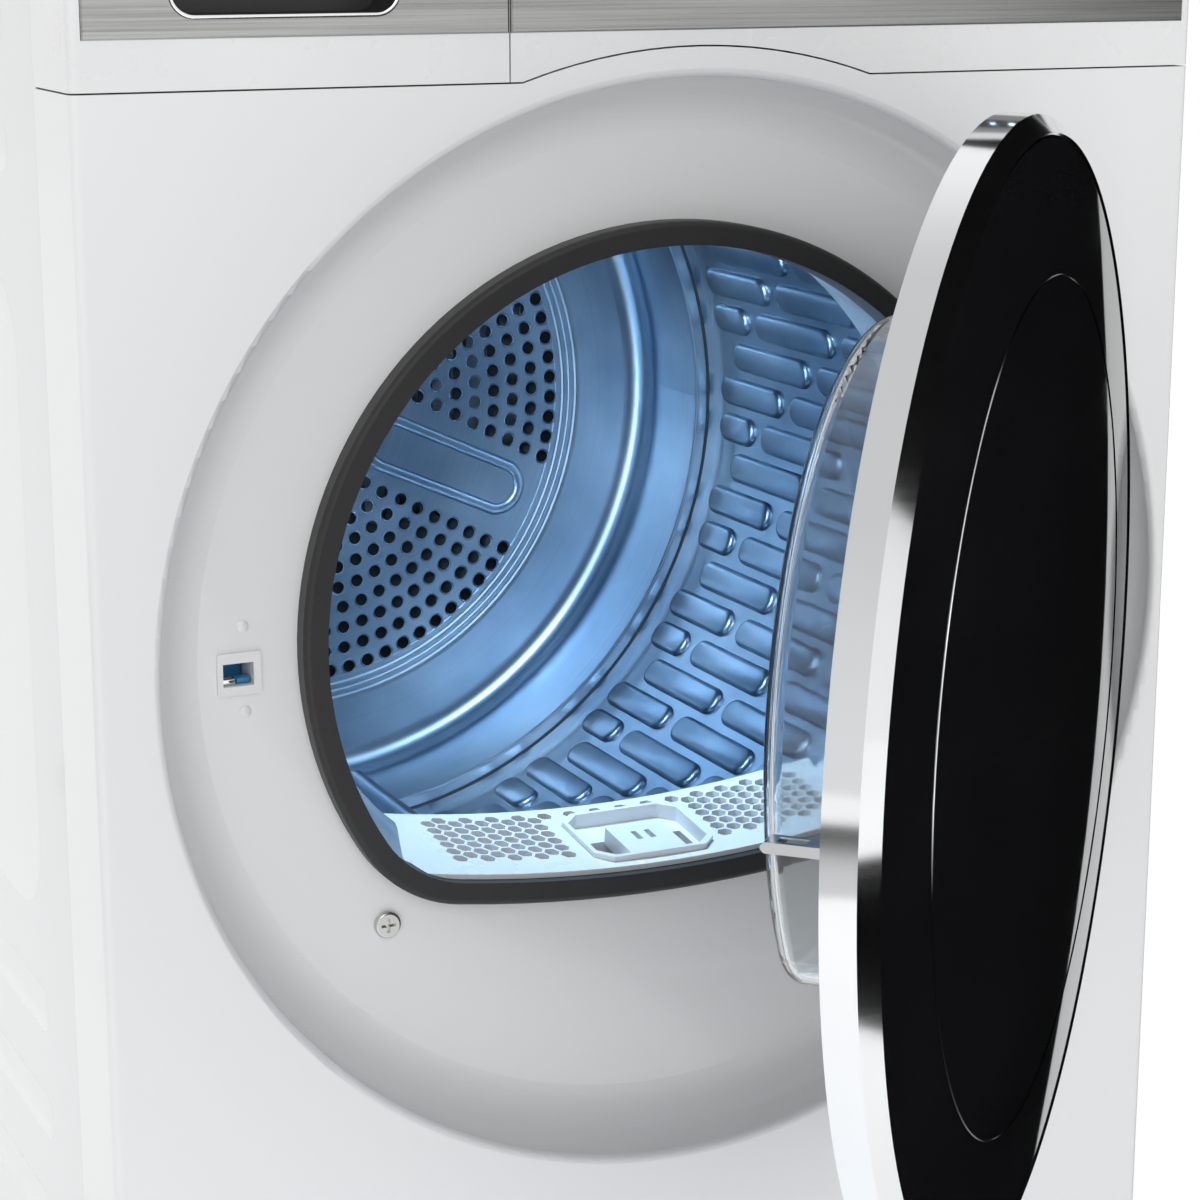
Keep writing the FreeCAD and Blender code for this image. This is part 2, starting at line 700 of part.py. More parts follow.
def make_bulkhead():
    edge = half - side_inset - sheet - slip
    sheet_y = tunnel_y + bulkhead_wall
    plate = box(-edge, edge, tunnel_y, sheet_y, pan_top, seam_z - wall - 6)
    hole = tunnel_solid(0, tunnel_y - 0.5, tunnel_end + 0.5)
    tunnel = tunnel_solid(tunnel_wall).cut(hole).cut(box(-300, 300, 0, sheet_y, 0, 900))
    track = tube_y(drum_x, drum_z, drum_lip_r - 6, drum_lip_r - 9, sheet_y, drum_front + 6)
    track = track.cut(box(-300, 300, 0, 200, 0, drum_z - 190)).cut(tunnel)
    pieces = [plate.cut(hole), tunnel, track]
    for x, z in roller_places().values():
        axle = rod_y(x, z, roller_axle_r, sheet_y, roller_rear + 4)
        pieces.append(axle.fuse(rod_y(x, z, roller_axle_r + 5, sheet_y, roller_front - 1)))
    cuts = [filter_slot(4, pocket_front - 2, pocket_rear + 2, 290, 330),
            latch_hole(tunnel_y - 1, latch_back + 1, slip),
            tilted(filter_block(slip, grille_low - filter_sink - slip, grille_low + 30))]
    cuts += [Part.makeCylinder(2.6, 20, place, V(0, 1, 0)) for place in hinge_screw_places()]
    lens_x, lens_z = lamp_place()
    cuts.append(box(lens_x - 16, lens_x + 16, 54, 80, lens_z - 14, lens_z + 14))
    solids = []
    for piece in pieces:
        for cut in cuts:
            piece = piece.cut(cut)
        solids += piece.Solids
    group("front_bulkhead", solids)
    lamp = box(lens_x - 15.7, lens_x + 15.7, 54.3, 79.7, lens_z - 6, lens_z + 9)
    edges = [e for e in lamp.Edges if abs(e.tangentAt(e.FirstParameter).z) > 0.9]
    save("drum_lamp", lamp.makeFillet(3, edges))


def lamp_place():
    return drum_x, drum_z + mouth_r + 2


def hex_places(y0, y1):
    """Centres of a honeycomb that stays clear of the filter and inside the tunnel's mouth."""
    row_step = hex_across + hex_web
    column_step = row_step * math.sqrt(0.75)
    reach = math.sqrt(mouth_r ** 2 - (drum_z - grille_low - grille_rise) ** 2) - hex_across
    places = []
    columns = int(2 * reach / column_step)
    for column in range(columns + 1):
        x = drum_x + (column - columns / 2) * column_step
        y = y0 + (row_step / 2 if column % 2 else 0)
        while y < y1:
            beside = abs(x - filter_x) > filter_half + hex_margin
            behind = y > filter_rear + hex_margin
            if beside or behind:
                places.append((x, y))
            y += row_step
    return places


def hex_wire(x, y, z):
    side = hex_across / math.sqrt(3)
    turns = [math.radians(-60 * k) for k in range(6)]
    corners = [V(x + side * math.cos(turn), front + y + side * math.sin(turn), z) for turn in turns]
    return Part.makePolygon(corners + corners[:1])


def make_grille():
    low = grille_low - 6
    x0, x1 = opening_x - grille_half, opening_x + grille_half
    outline = Part.makePolygon([V(x0, front + grille_front, low), V(x1, front + grille_front, low),
                                V(x1, front + grille_rear, low), V(x0, front + grille_rear, low),
                                V(x0, front + grille_front, low)])
    holes = [hex_wire(x, y, low) for x, y in hex_places(grille_front + 20, grille_rear - 6)]
    slab = Part.Face([outline] + holes).extrude(V(0, 0, 60))
    axis_z = grille_low + opening_bow
    upper = Part.makeCylinder(opening_bow, 400, V(opening_x, front - 100, axis_z), V(0, 1, 0))
    lower = Part.makeCylinder(opening_bow + grille_wall, 400, V(opening_x, front - 100, axis_z), V(0, 1, 0))
    shelf = tilted(lower.cut(upper))
    shelf = shelf.common(box(x0, x1, grille_front - 5, grille_rear + 5, low - 4, low + 60))
    shelf = shelf.common(slab)
    shelf = shelf.cut(tilted(filter_block(slip, low - 10, low + 60)))
    inside = tunnel_solid(-slip, tunnel_y, tunnel_end)
    mouth = prism_y(mouth_wire(tunnel_end, -slip), grille_rear - tunnel_end + 1)
    throat = opening_prism(-gasket_width - slip, grille_front - 1, tunnel_y)
    shelf = shelf.common(inside.fuse([mouth, throat]))
    solids = sorted(shelf.Solids, key=lambda s: -s.Volume)
    save("lint_grille", solids[0])


def tilted(shape):
    """Lean a flat-built piece to the slope of the grille."""
    turn = math.degrees(math.atan2(grille_rise, grille_rear - grille_front))
    shape.rotate(V(0, front + grille_front, grille_low), V(1, 0, 0), turn)
    return shape


def filter_block(grow, z0, z1):
    """Outline of the filter's tray, with its corners cut off."""
    block = box(filter_x - filter_half - grow, filter_x + filter_half + grow,
                filter_front - grow, filter_rear + grow, z0, z1)
    corners = [e for e in block.Edges if abs(e.tangentAt(e.FirstParameter).z) > 0.9]
    return block.makeChamfer(filter_corner, corners)


def make_filter():
    floor_z, top = grille_low - filter_sink, grille_low + 3.5
    ledge_y, ledge_z = tunnel_y + 1, grille_low - filter_step
    tray = tilted(filter_block(0, floor_z, top)).cut(box(-200, 200, 0, ledge_y, 0, ledge_z))
    hollow = tilted(filter_block(-filter_wall, floor_z + filter_wall, top + 1))
    hollow = hollow.cut(box(-200, 200, 0, ledge_y + filter_wall, 0, ledge_z + filter_wall))
    tray = tray.cut(hollow)
    handle = box(filter_x - handle_half, filter_x + handle_half, filter_front + 1, filter_rear - 22,
                 floor_z + 1, top)
    for dx in (-handle_slot_gap / 2, handle_slot_gap / 2):
        handle = handle.cut(box(filter_x + dx - handle_slot / 2, filter_x + dx + handle_slot / 2,
                                filter_front + 16, filter_front + 26, floor_z + 4, top + 1))
    sleeve_top = floor_z + 6
    sleeve = filter_slot(0, pocket_front, pocket_rear, pocket_bottom, sleeve_top)
    throat = filter_slot(-2, pocket_front + 2, pocket_rear - 2, pocket_bottom + 2, top + 20)
    above = tilted(filter_block(-filter_wall, floor_z + filter_wall, top + 60))
    frame = tray.fuse(sleeve.cut(above)).cut(throat)
    frame = frame.fuse(tilted(handle).cut(box(-200, 200, 0, ledge_y, 0, ledge_z)))
    side = filter_half - 12
    frame = frame.cut(box(filter_x - side, filter_x + side, pocket_front - 1, pocket_rear + 1,
                          pocket_bottom + 8, window_top))
    save("filter_frame", frame)
    sheets = []
    for y in (pocket_front + 0.6, pocket_rear - 1.4):
        sheets.append(box(filter_x - side, filter_x + side, y, y + 0.8, pocket_bottom + 8, window_top))
    group("filter_mesh", sheets)


# ---- drum ---------------------------------------------------------------------------------
def make_drum():
    outer = drum_r + drum_sheet
    wrap = tube_y(drum_x, drum_z, outer, drum_r, drum_front + drum_sheet, drum_rear)
    face = tube_y(drum_x, drum_z, outer, drum_lip_r, drum_front, drum_front + drum_sheet)
    group("drum_shell", [wrap, face])
    well_y = drum_rear + rear_well
    flange_y = drum_rear + drum_sheet
    flange = tube_y(drum_x, drum_z, outer, rear_ring_r, drum_rear, flange_y)
    well = spun(drum_x, drum_z, [
        (rear_ring_r + 1, flange_y), (rear_ring_r + 1, well_y - 18),
        (rear_ring_r - 17, well_y, rear_ring_r - 4.3, well_y - 4.3),
        (plate_r + 16, well_y), (plate_r + 12, plate_y - 1), (plate_r - 4, plate_y - 1),
        (plate_r - 4, plate_y - 2), (plate_r + 10, plate_y - 2), (plate_r + 14, well_y - 1),
        (rear_ring_r - 17, well_y - 1), (rear_ring_r, well_y - 18, rear_ring_r - 5, well_y - 5.3),
        (rear_ring_r, flange_y)])
    plate = perforated_plate()
    group("drum_back", [flange, well, plate])
    lifters = [lifter(lifter_turn + turn) for turn in (0, 180)]
    group("drum_lifters", lifters)
    hub = spun(drum_x, drum_z, [
        (0, plate_y), (48, plate_y), (48, plate_y + 3), (18, plate_y + 5), (shaft_r, plate_y + 6),
        (shaft_r, plate_y + 33), (0, plate_y + 33)])
    save("drum_shaft", hub)


def bead_turns():
    return [bead_turn + 90 + n * 360 / bead_count for n in range(bead_count)]


def clear_of_beads(radius, turn):
    """True where a hole at this place misses every radial bead."""
    for bead in bead_turns():
        off = math.radians((turn - bead + 180) % 360 - 180)
        if abs(off) < math.pi / 2 and abs(radius * math.sin(off)) < bead_half + hole_r + 2:
            return False
    return True


def perforated_plate():
    y = plate_y - 1
    holes = []
    radius = first_row_r
    row = 0
    while radius < plate_r - 5:
        count = int(2 * math.pi * radius / hole_pitch)
        for n in range(count):
            turn = (n + 0.5 * (row % 2)) * 360 / count
            if clear_of_beads(radius, turn):
                x, z = plan_point(drum_x, drum_z, radius, turn)
                holes.append(rod_y(x, z, hole_r, y - 1, y + 2))
        radius += row_pitch
        row += 1
    return rod_y(drum_x, drum_z, plate_r + 6, y, y + 1).cut(Part.makeCompound(holes))


def lifter(turn):
    """Rounded paddle along the drum wall."""
    base = drum_r - slip
    rim = [(base * math.cos(math.radians(a)), base * math.sin(math.radians(a))) for a in (-6, -3, 0, 3, 6)]
    flank = drum_r - lifter_height
    low, high = V(flank, 0, -7), V(flank, 0, 7)
    start, middle, end = [V(x, 0, z) for x, z in (rim[0], rim[2], rim[4])]
    wire = Part.Wire([arc(start, middle, end), line(end, high),
                      arc(high, V(flank - 7, 0, 0), low), line(low, start)])
    paddle = Part.Face(wire).extrude(V(0, drum_rear - drum_front - 90, 0))
    paddle.rotate(V(0, 0, 0), V(0, 1, 0), -turn)
    paddle.translate(V(drum_x, front + drum_front + 45, drum_z))
    return paddle


# ---- rear bulkhead, belt drive ------------------------------------------------------------
def make_rear_bulkhead():
    rim_r = drum_r + drum_sheet + 1.5
    y0 = plate_y + 12
    below = box(-300, 300, 0, 700, 0, pan_top)
    disc = rod_y(drum_x, drum_z, rim_r + 1.5, y0 - 2, y0).cut(below)
    rim = tube_y(drum_x, drum_z, rim_r + 1.5, rim_r, drum_rear + 20, y0 - 2).cut(below)
    for n in range(5):
        for side in (-1, 1):
            x = drum_x + side * (62 + n * 26)
            disc = disc.cut(rounded_y(x - 8, x + 8, drum_z - 90, drum_z + 90, 7, y0 - 5, y0 + 3))
    legs = box(-250, 260, y0 - 2, y0, pan_top, drum_z - 235)
    hub = tube_y(drum_x, drum_z, 26, shaft_r + fit, y0 - 2, y0 + 22)
    body = disc.fuse([legs, hub])
    body = body.cut(rod_y(drum_x, drum_z, shaft_r + fit, y0 - 6, y0 + 30))
    body = body.cut(rod_y(spigot_x, 120, 6, y0 - 5, y0 + 5))
    group("rear_bulkhead", body.Solids + rim.cut(rod_y(spigot_x, 120, 6, y0 - 5, y0 + 5)).Solids)


def belt_wire(grow, y):
    """Loop round the drum and the motor pulley."""
    big, small = drum_r + drum_sheet + slip + grow, pulley_r + slip + grow
    dx, dz = motor_x - drum_x, motor_z - drum_z
    span = math.hypot(dx, dz)
    heading = math.atan2(dz, dx)
    lean = math.acos((big - small) / span)

    def at(x, z, radius, angle):
        return V(x + radius * math.cos(angle), front + y, z + radius * math.sin(angle))
    a = at(drum_x, drum_z, big, heading + lean)
    b = at(drum_x, drum_z, big, heading - lean)
    c = at(motor_x, motor_z, small, heading - lean)
    d = at(motor_x, motor_z, small, heading + lean)
    return Part.Wire([arc(a, at(drum_x, drum_z, big, heading + math.pi), b), line(b, c),
                      arc(c, at(motor_x, motor_z, small, heading), d), line(d, a)])


def idler_place():
    """The idler lies under the belt's lower run."""
    big, small = drum_r + drum_sheet + slip, pulley_r + slip
    dx, dz = motor_x - drum_x, motor_z - drum_z
    heading = math.atan2(dz, dx)
    lean = math.acos((big - small) / math.hypot(dx, dz))
    nx, nz = math.cos(heading - lean), math.sin(heading - lean)
    reach = big + belt_wall + slip + idler_r
    px, pz = drum_x + nx * reach, drum_z + nz * reach
    along = (idler_x - px) / -nz
    return px - nz * along, pz + nx * along


def make_belt_drive():
    outer = prism_y(belt_wire(belt_wall, belt_y), belt_width)
    inner = prism_y(belt_wire(0, belt_y - 1), belt_width + 2)
    save("drive_belt", outer.cut(inner))
    x, z = idler_place()
    save("idler_pulley", spun(x, z, [
        (4 + fit, belt_y - 4), (idler_r, belt_y - 4), (idler_r, belt_y + belt_width + 4),
        (4 + fit, belt_y + belt_width + 4)]))
    for name, (rx, rz) in roller_places().items():
        save(name, spun(rx, rz, [
            (roller_axle_r + fit, roller_front), (roller_r - 4, roller_front), (roller_r, roller_front + 4),
            (roller_r, roller_rear - 1), (roller_r - 1, roller_rear), (roller_axle_r + fit, roller_rear)]))
    stator = tube_y(motor_x, motor_z, motor_r, rotor_r + fit, motor_front, motor_rear)
    for y in (motor_front + 12, motor_rear - 14):
        stator = stator.fuse(tube_y(motor_x, motor_z, motor_r + 2.5, motor_r - 1, y, y + 6))
    floor_top = motor_z - motor_r - 4
    for mx in (motor_x - 40, motor_x + 40):
        foot = box(mx - 8, mx + 8, motor_front + 20, motor_rear - 20, floor_top, motor_z - 26)
        stator = stator.fuse(foot.cut(rod_y(motor_x, motor_z, motor_r - 2, 0, 400)))
    save("motor", stator)
    rotor = rod_y(motor_x, motor_z, rotor_r, blower_front - 4, belt_y + belt_width + 12)
    pulley = spun(motor_x, motor_z, [
        (0, belt_y - 6), (pulley_r + 3, belt_y - 6), (pulley_r + 3, belt_y - 3), (pulley_r, belt_y - 2),
        (pulley_r, belt_y + belt_width + 2), (pulley_r + 3, belt_y + belt_width + 3),
        (pulley_r + 3, belt_y + belt_width + 6), (0, belt_y + belt_width + 6)])
    wheel = rod_y(motor_x, motor_z, blower_r, blower_rear - 2, blower_rear)
    wheel = wheel.fuse(tube_y(motor_x, motor_z, blower_r, blower_r - 10, blower_front, blower_front + 2))
    wheel = wheel.fuse(rod_y(motor_x, motor_z, 14, blower_front + 5, blower_rear))
    for n in range(24):
        blade = box(motor_x + blower_r - 12, motor_x + blower_r - 1, blower_front + 1, blower_rear - 1,
                    motor_z - 1, motor_z + 1)
        blade.rotate(V(motor_x, 0, motor_z), V(0, 1, 0), n * 15)
        wheel = wheel.fuse(blade)
    save("blower_rotor", rotor.fuse([pulley, wheel]))


def make_blower():
    shell = rounded_y(blower_x0, blower_x1, blower_z0, blower_z1, 20, blower_y0, blower_y1)
    shell = shell.cut(rounded_y(blower_x0 + wall, blower_x1 - wall, blower_z0 + wall, blower_z1 - wall, 18,
                                blower_y0 + wall, blower_y1 - wall))
    shell = shell.cut(rod_y(motor_x, motor_z, blower_r - 14, blower_y0 - 1, blower_y0 + 3))
    shell = shell.cut(rod_y(motor_x, motor_z, rotor_r + 3, blower_y1 - 4, blower_y1 + 1))
    shell = shell.cut(box(blower_x0 - 1, blower_x0 + 3, blower_y0 + 8, blower_y1 - 8,
                          blower_z0 + 24, blower_z0 + 90))
    save("blower_housing", shell)


# ---- heat pump ----------------------------------------------------------------------------
def compressor_foot(turn):
    angle = math.radians(turn)
    return compressor_x + 46 * math.cos(angle), compressor_y + 58 * math.sin(angle)


def finned_block(x0, x1, y0, y1, z0, z1, fins):
    """Fins on a common spine, with their faces along the air flow."""
    pitch = (x1 - x0) / fins
    points = [(x0, z0), (x1, z0)]
    for n in range(fins, 0, -1):
        right = x0 + n * pitch
        points += [(right, z1), (right - pitch * 0.35, z1), (right - pitch * 0.35, z0 + 6)]
        if n > 1:
            points.append((right - pitch, z0 + 6))
    points.append((x0, z0 + 6))
    return polygon_y(points, y0, y1)


def make_heat_pump():
    shell = box(duct_left, duct_right, duct_front, duct_rear, duct_bottom, duct_top)
    shell = shell.cut(box(duct_left + wall, duct_right - wall, duct_front + wall, duct_rear - wall,
                          duct_bottom + wall, duct_top - wall))
    shell = shell.cut(box(duct_left + 30, duct_right - 30, duct_front - 1, duct_front + 3,
                          duct_bottom + 30, duct_top - 20))
    shell = shell.cut(box(duct_left + 30, duct_right - 30, duct_rear - 3, duct_rear + 1,
                          duct_bottom + 30, duct_top - 20))
    for y, z in pipe_places():
        shell = shell.cut(Part.makeCylinder(pipe_r + slip, 10, V(duct_right - 5, front + y, z), V(1, 0, 0)))
    save("air_duct", shell)
    inner0, inner1 = duct_left + wall + slip, duct_right - wall - slip
    save("evaporator", finned_block(inner0, inner1, 110, 215, duct_bottom + wall, duct_top - wall - 2, 30))
    save("condenser", finned_block(inner0, inner1, 245, 420, duct_bottom + wall, duct_top - wall - 2, 30))
    body = rod_z(compressor_x, compressor_y, compressor_r, compressor_base, compressor_top)
    rims = [e for e in body.Edges if len(e.Vertexes) == 1]
    body = body.makeFillet(20, rims)
    body = body.fuse(rod_z(compressor_x, compressor_y, compressor_r + 1.5, 110, 116))
    base = rod_z(compressor_x, compressor_y, 30, compressor_base - 1, compressor_base + 10)
    body = body.fuse(base)
    mounts = []
    for turn in (90, 210, 330):
        x, y = compressor_foot(turn)
        tab = box(min(x, compressor_x) - 10, max(x, compressor_x) + 10,
                  min(y, compressor_y) - 10, max(y, compressor_y) + 10,
                  compressor_base - 1, compressor_base + 2)
        body = body.fuse(tab)
        mounts.append(rod_z(x, y, 9, compressor_base - 6, compressor_base - 1))
    group("compressor", [body] + mounts)
    pipes = [pipe_run(y, z) for y, z in pipe_places()]
    group("refrigerant_pipes", pipes)
    pump = box(-40, 30, 560, 600, floor_gap + pan_floor, 80)
    pump = pump.fuse(rod_z(-5, 580, 16, 80, 104))
    pump = pump.fuse(Part.makeCylinder(5, 14, V(30, front + 580, 66), V(1, 0, 0)))
    save("drain_pump", pump)


def pipe_places():
    return [(150.0, 122.0), (330.0, 98.0)]


def pipe_run(y, z):
    """Copper line from a heat exchanger's side to the compressor."""
    start = V(duct_right - 2.2, front + y, z)
    corner_x = 20.0 if y < 200 else 60.0
    end_y = compressor_y - 12 if y < 200 else compressor_y + 12
    reach = compressor_x - compressor_r + 0.4
    r = 14.0
    s = r * (1 - math.sqrt(0.5))
    a = V(corner_x - r, front + y, z)
    b = V(corner_x, front + y + r, z)
    c = V(corner_x, front + end_y - r, z)
    d = V(corner_x + r, front + end_y, z)
    e = V(reach, front + end_y, z)
    path = Part.Wire([line(start, a), arc(a, V(corner_x - s, front + y + s, z), b), line(b, c),
                      arc(c, V(corner_x + s, front + end_y - s, z), d), line(d, e)])
    profile = Part.Wire(Part.makeCircle(pipe_r, start, V(1, 0, 0)))
    return path.makePipeShell([profile], True, False)


# ---- door ---------------------------------------------------------------------------------
def opened(shape):
    """Swing a piece modelled with the door shut to the resting, part-open place."""
    shape.rotate(V(hinge_x, front + hinge_y, 0), V(0, 0, 1), door_open)
    return shape


def arm_clearance():
    """Space inside the door that the fixed hinge arm needs as the door swings."""
    low, high = recess_z - arm_half - 2, recess_z + arm_half + 2
    return box(hinge_x - arm_reach - arm_wall - 1, hinge_x + 14, door_rear - 6, door_rear + 2, low, high)


def hinge_screw_places():
    return [V(hinge_x - arm_reach - 14, front + recess_depth - 2.8, recess_z + dz) for dz in (-22, 22)]


def make_door():
    t = ring_wall
    ring = spun(door_x, recess_z, [
        (ring_r, door_rear), (ring_r - 0.6, side_y), (glass_r, glass_y), (glass_r - 1.6, glass_y + 1.4),
        (ring_r - 0.8 - t, side_y + 1), (ring_r - t - 0.2, door_rear - t), (ring_r - 6.4, door_rear - t),
        (ring_r - 6.4, door_rear)])
    save("door_ring", opened(ring.cut(arm_clearance())))
    g = glass_r - 2.0
    edge_y = glass_y + 0.6
    dome_r = (g * g + glass_dome ** 2) / (2 * glass_dome)
    centre = V(door_x, front + edge_y - glass_dome + dome_r, recess_z)
    glass = rod_y(door_x, recess_z, g, edge_y - glass_dome - 1, edge_y + glass_wall - 1)
    glass = glass.common(Part.makeSphere(dome_r, centre))
    glass = glass.cut(Part.makeSphere(dome_r - glass_wall, centre))
    save("door_glass", opened(glass))
    frame_r = ring_r - 6.6
    frame = rod_y(door_x, recess_z, frame_r, door_rear - 2.5, door_rear)
    lug = tube_y(door_x, recess_z, frame_r - 6, frame_r - 9, glass_y + 6.5, door_rear - 2.5)
    frame = frame.fuse(lug.cut(box(hinge_x - 60, hinge_x + 40, -40, 60, recess_z - 60, recess_z + 60)))
    frame = frame.cut(opening_prism(-bowl_inset + slip, -30, door_rear + 1))
    frame = frame.cut(arm_clearance())
    for place in door_screw_places():
        frame = frame.cut(Part.makeCylinder(1.6, 8, place + V(0, 1, 0), V(0, -1, 0)))
    save("door_frame", opened(frame))
    flange_y = door_rear - 2.5 - 3
    bowl = opening_prism(-bowl_inset, flange_y, door_rear + bowl_depth)
    rear = [e for e in bowl.Edges if e.BoundBox.YMin > front + door_rear + bowl_depth - 0.01]
    bowl = bowl.makeFillet(9, rear)
    bowl = bowl.fuse(opening_prism(-bowl_inset + 8, flange_y, flange_y + 3))
    hollow = opening_prism(-bowl_inset - bowl_wall, flange_y - 1, door_rear + bowl_depth - bowl_wall)
    deep = [e for e in hollow.Edges if e.BoundBox.YMin > front + door_rear + bowl_depth - bowl_wall - 0.01]
    save("door_bowl", opened(bowl.cut(hollow.makeFillet(6, deep))))
    hook = box(hook_x - hook_width / 2, hook_x + hook_width / 2, door_rear, door_rear + hook_length,
               hook_z - hook_wall / 2, hook_z + hook_wall / 2)
    nose = [e for e in hook.Edges if abs(e.tangentAt(e.FirstParameter).x) > 0.9
            and e.BoundBox.YMin > front + door_rear + hook_length - 0.01]
    hook = hook.makeChamfer(1.6, nose)
    hook = hook.cut(box(hook_x - 3, hook_x + 3, door_rear + 16, door_rear + hook_length - 6,
                        hook_z - 5, hook_z + 5))
    hook = hook.fuse(box(hook_x - 8, hook_x + 8, door_rear, door_rear + 1.6, hook_z - 9, hook_z + 9))
    save("latch_hook", opened(hook))
    group("door_screws", [opened(screw(p, V(0, -1, 0), 3.4, 1.55, 5, 1.8)) for p in door_screw_places()])


def door_screw_places():
    places = []
    for turn in (62, 100, 140, 165, 200, 240, 285, 318):
        x, z = plan_point(door_x, recess_z, 232, turn)
        places.append(V(x, front + door_rear, z))
    return places


def make_hinge():
    low, high = recess_z - arm_half, recess_z + arm_half
    hx, hy = hinge_x, hinge_y
    hub = Part.makeCylinder(knuckle_r, high - low, V(hx, front + hy, low))
    arm = box(hx - arm_reach - arm_wall / 2, hx, hy - arm_wall / 2, hy + arm_wall / 2, low, high)
    leg = box(hx - arm_reach - arm_wall / 2, hx - arm_reach + arm_wall / 2, hy - arm_wall / 2,
              recess_depth, low, high)
    flange = box(hx - arm_reach - 24, hx - arm_reach + arm_wall / 2, recess_depth - 2.8, recess_depth,
                 low, high)
    bracket = hub.fuse([arm, leg, flange])
    bracket = bracket.cut(Part.makeCylinder(pin_r + fit, high - low + 2, V(hx, front + hy, low - 1)))
    for place in hinge_screw_places():
        bracket = bracket.cut(Part.makeCylinder(2.6, 8, place - V(0, 2, 0), V(0, 1, 0)))
    save("hinge_bracket", bracket)
    knuckle_gap = 0.5
    leaf = box(hx - 46, hx - 31, door_rear - 5.5, door_rear - 2.5, low - 30, high + 30)
    for z0, z1 in ((low - 18, low - knuckle_gap), (high + knuckle_gap, high + 18)):
        leaf = leaf.fuse(Part.makeCylinder(knuckle_r, z1 - z0, V(hx, front + hy, z0)))
        leaf = leaf.fuse(box(hx - 34, hx, hy - 2, hy + 2, z0, z1))
        leaf = leaf.fuse(box(hx - 36, hx - 31, hy - 2, door_rear - 2.5, z0, z1))
    leaf = leaf.fuse(Part.makeCylinder(pin_r, high - low + 36, V(hx, front + hy, low - 18)))
    save("hinge_leaf", opened(leaf))


make_front_panel()
make_gasket()
make_latch_socket()
make_plugs()
make_fascia()
make_controls()
make_tank()
make_sides()
make_rear_and_top()
make_rear_fittings()
make_base()
make_bulkhead()
make_grille()
make_filter()
make_drum()
make_rear_bulkhead()
make_belt_drive()
make_blower()
make_heat_pump()
make_door()
make_hinge()

os.makedirs("parts", exist_ok=True)
for name, shape in parts.items():
    shape.exportStep("parts/" + name + ".step")
    solids = shape.Solids
    good = shape.isValid() and all(s.Volume > 0 for s in solids)
    print(name, len(solids), "solids", round(shape.Volume / 1000, 1), "cm3", "" if good else "NOT VALID")
print(len(parts), "nodes")
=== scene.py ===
"""Front-loading clothes dryer with its round glass door part open. Lengths in metres."""
import json
import math
import bmesh
import bpy
from mathutils import Matrix, Vector


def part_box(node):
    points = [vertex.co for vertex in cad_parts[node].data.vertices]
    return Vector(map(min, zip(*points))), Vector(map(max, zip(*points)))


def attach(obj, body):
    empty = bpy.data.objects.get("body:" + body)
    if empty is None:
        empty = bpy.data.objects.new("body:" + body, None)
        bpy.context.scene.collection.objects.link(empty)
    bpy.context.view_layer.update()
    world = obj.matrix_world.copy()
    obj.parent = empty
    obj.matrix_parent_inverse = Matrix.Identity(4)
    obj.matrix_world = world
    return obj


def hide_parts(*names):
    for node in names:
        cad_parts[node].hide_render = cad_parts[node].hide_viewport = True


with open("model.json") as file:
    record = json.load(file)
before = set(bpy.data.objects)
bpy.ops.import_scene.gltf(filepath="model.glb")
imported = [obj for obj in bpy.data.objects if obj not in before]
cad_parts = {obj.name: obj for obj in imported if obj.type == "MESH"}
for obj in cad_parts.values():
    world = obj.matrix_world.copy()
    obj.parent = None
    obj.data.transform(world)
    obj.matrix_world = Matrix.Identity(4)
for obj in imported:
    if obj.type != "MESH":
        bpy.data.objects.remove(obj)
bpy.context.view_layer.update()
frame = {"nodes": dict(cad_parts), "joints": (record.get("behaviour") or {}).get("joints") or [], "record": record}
nodes = frame["nodes"]
MM = 0.001


# ---- places read from the frame -----------------------------------------------------------
def middle(node):
    low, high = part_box(node)
    return (low + high) / 2


drum_low, drum_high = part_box("drum_shell")
drum_axis = Vector(((drum_low.x + drum_high.x) / 2, 0, (drum_low.z + drum_high.z) / 2))
drum_radius = (drum_high.x - drum_low.x) / 2 - 1 * MM
plate_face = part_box("drum_shaft")[0].y - 1 * MM
door_pin = Vector(next(j["pos_m"] for j in frame["joints"] if j["name"] == "door_hinge"))
door_turn = math.radians(-next(j["range_deg"][0] for j in frame["joints"] if j["name"] == "door_hinge"))


# ---- working by hand ----------------------------------------------------------------------
def clear():
    if bpy.context.object and bpy.context.object.mode != "OBJECT":
        bpy.ops.object.mode_set(mode="OBJECT")
    bpy.ops.object.select_all(action="DESELECT")


def pick(piece, kind, test):
    """Select the vertices, edges or faces that pass the test, in edit mode."""
    bpy.ops.mesh.select_mode(type=kind)
    bpy.ops.mesh.select_all(action="DESELECT")
    mesh = bmesh.from_edit_mesh(piece.data)
    for item in {"VERT": mesh.verts, "EDGE": mesh.edges, "FACE": mesh.faces}[kind]:
        item.select_set(bool(test(item)))
    mesh.select_flush_mode()
    bmesh.update_edit_mesh(piece.data)


def heading(edge):
    return (edge.verts[1].co - edge.verts[0].co).normalized()


def start(add, **settings):
    """Add a primitive, put its place into its mesh and open it for editing."""
    clear()
    add(**settings)
    piece = bpy.context.object
    bpy.ops.object.transform_apply(location=True, rotation=True, scale=True)
    bpy.ops.object.mode_set(mode="EDIT")
    return piece


def finish(piece, name, body, material, smooth=35, replaces=()):
    """Close the edit, shade, name and hand the piece to its body."""
    clear()
    piece.select_set(True)
    bpy.context.view_layer.objects.active = piece
    bpy.ops.object.shade_smooth_by_angle(angle=math.radians(smooth))
    piece.name = piece.data.name = name
    piece.data.materials.clear()
    piece.data.materials.append(material)
    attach(piece, body)
    if replaces:
        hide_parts(*replaces)
    clear()
    return piece


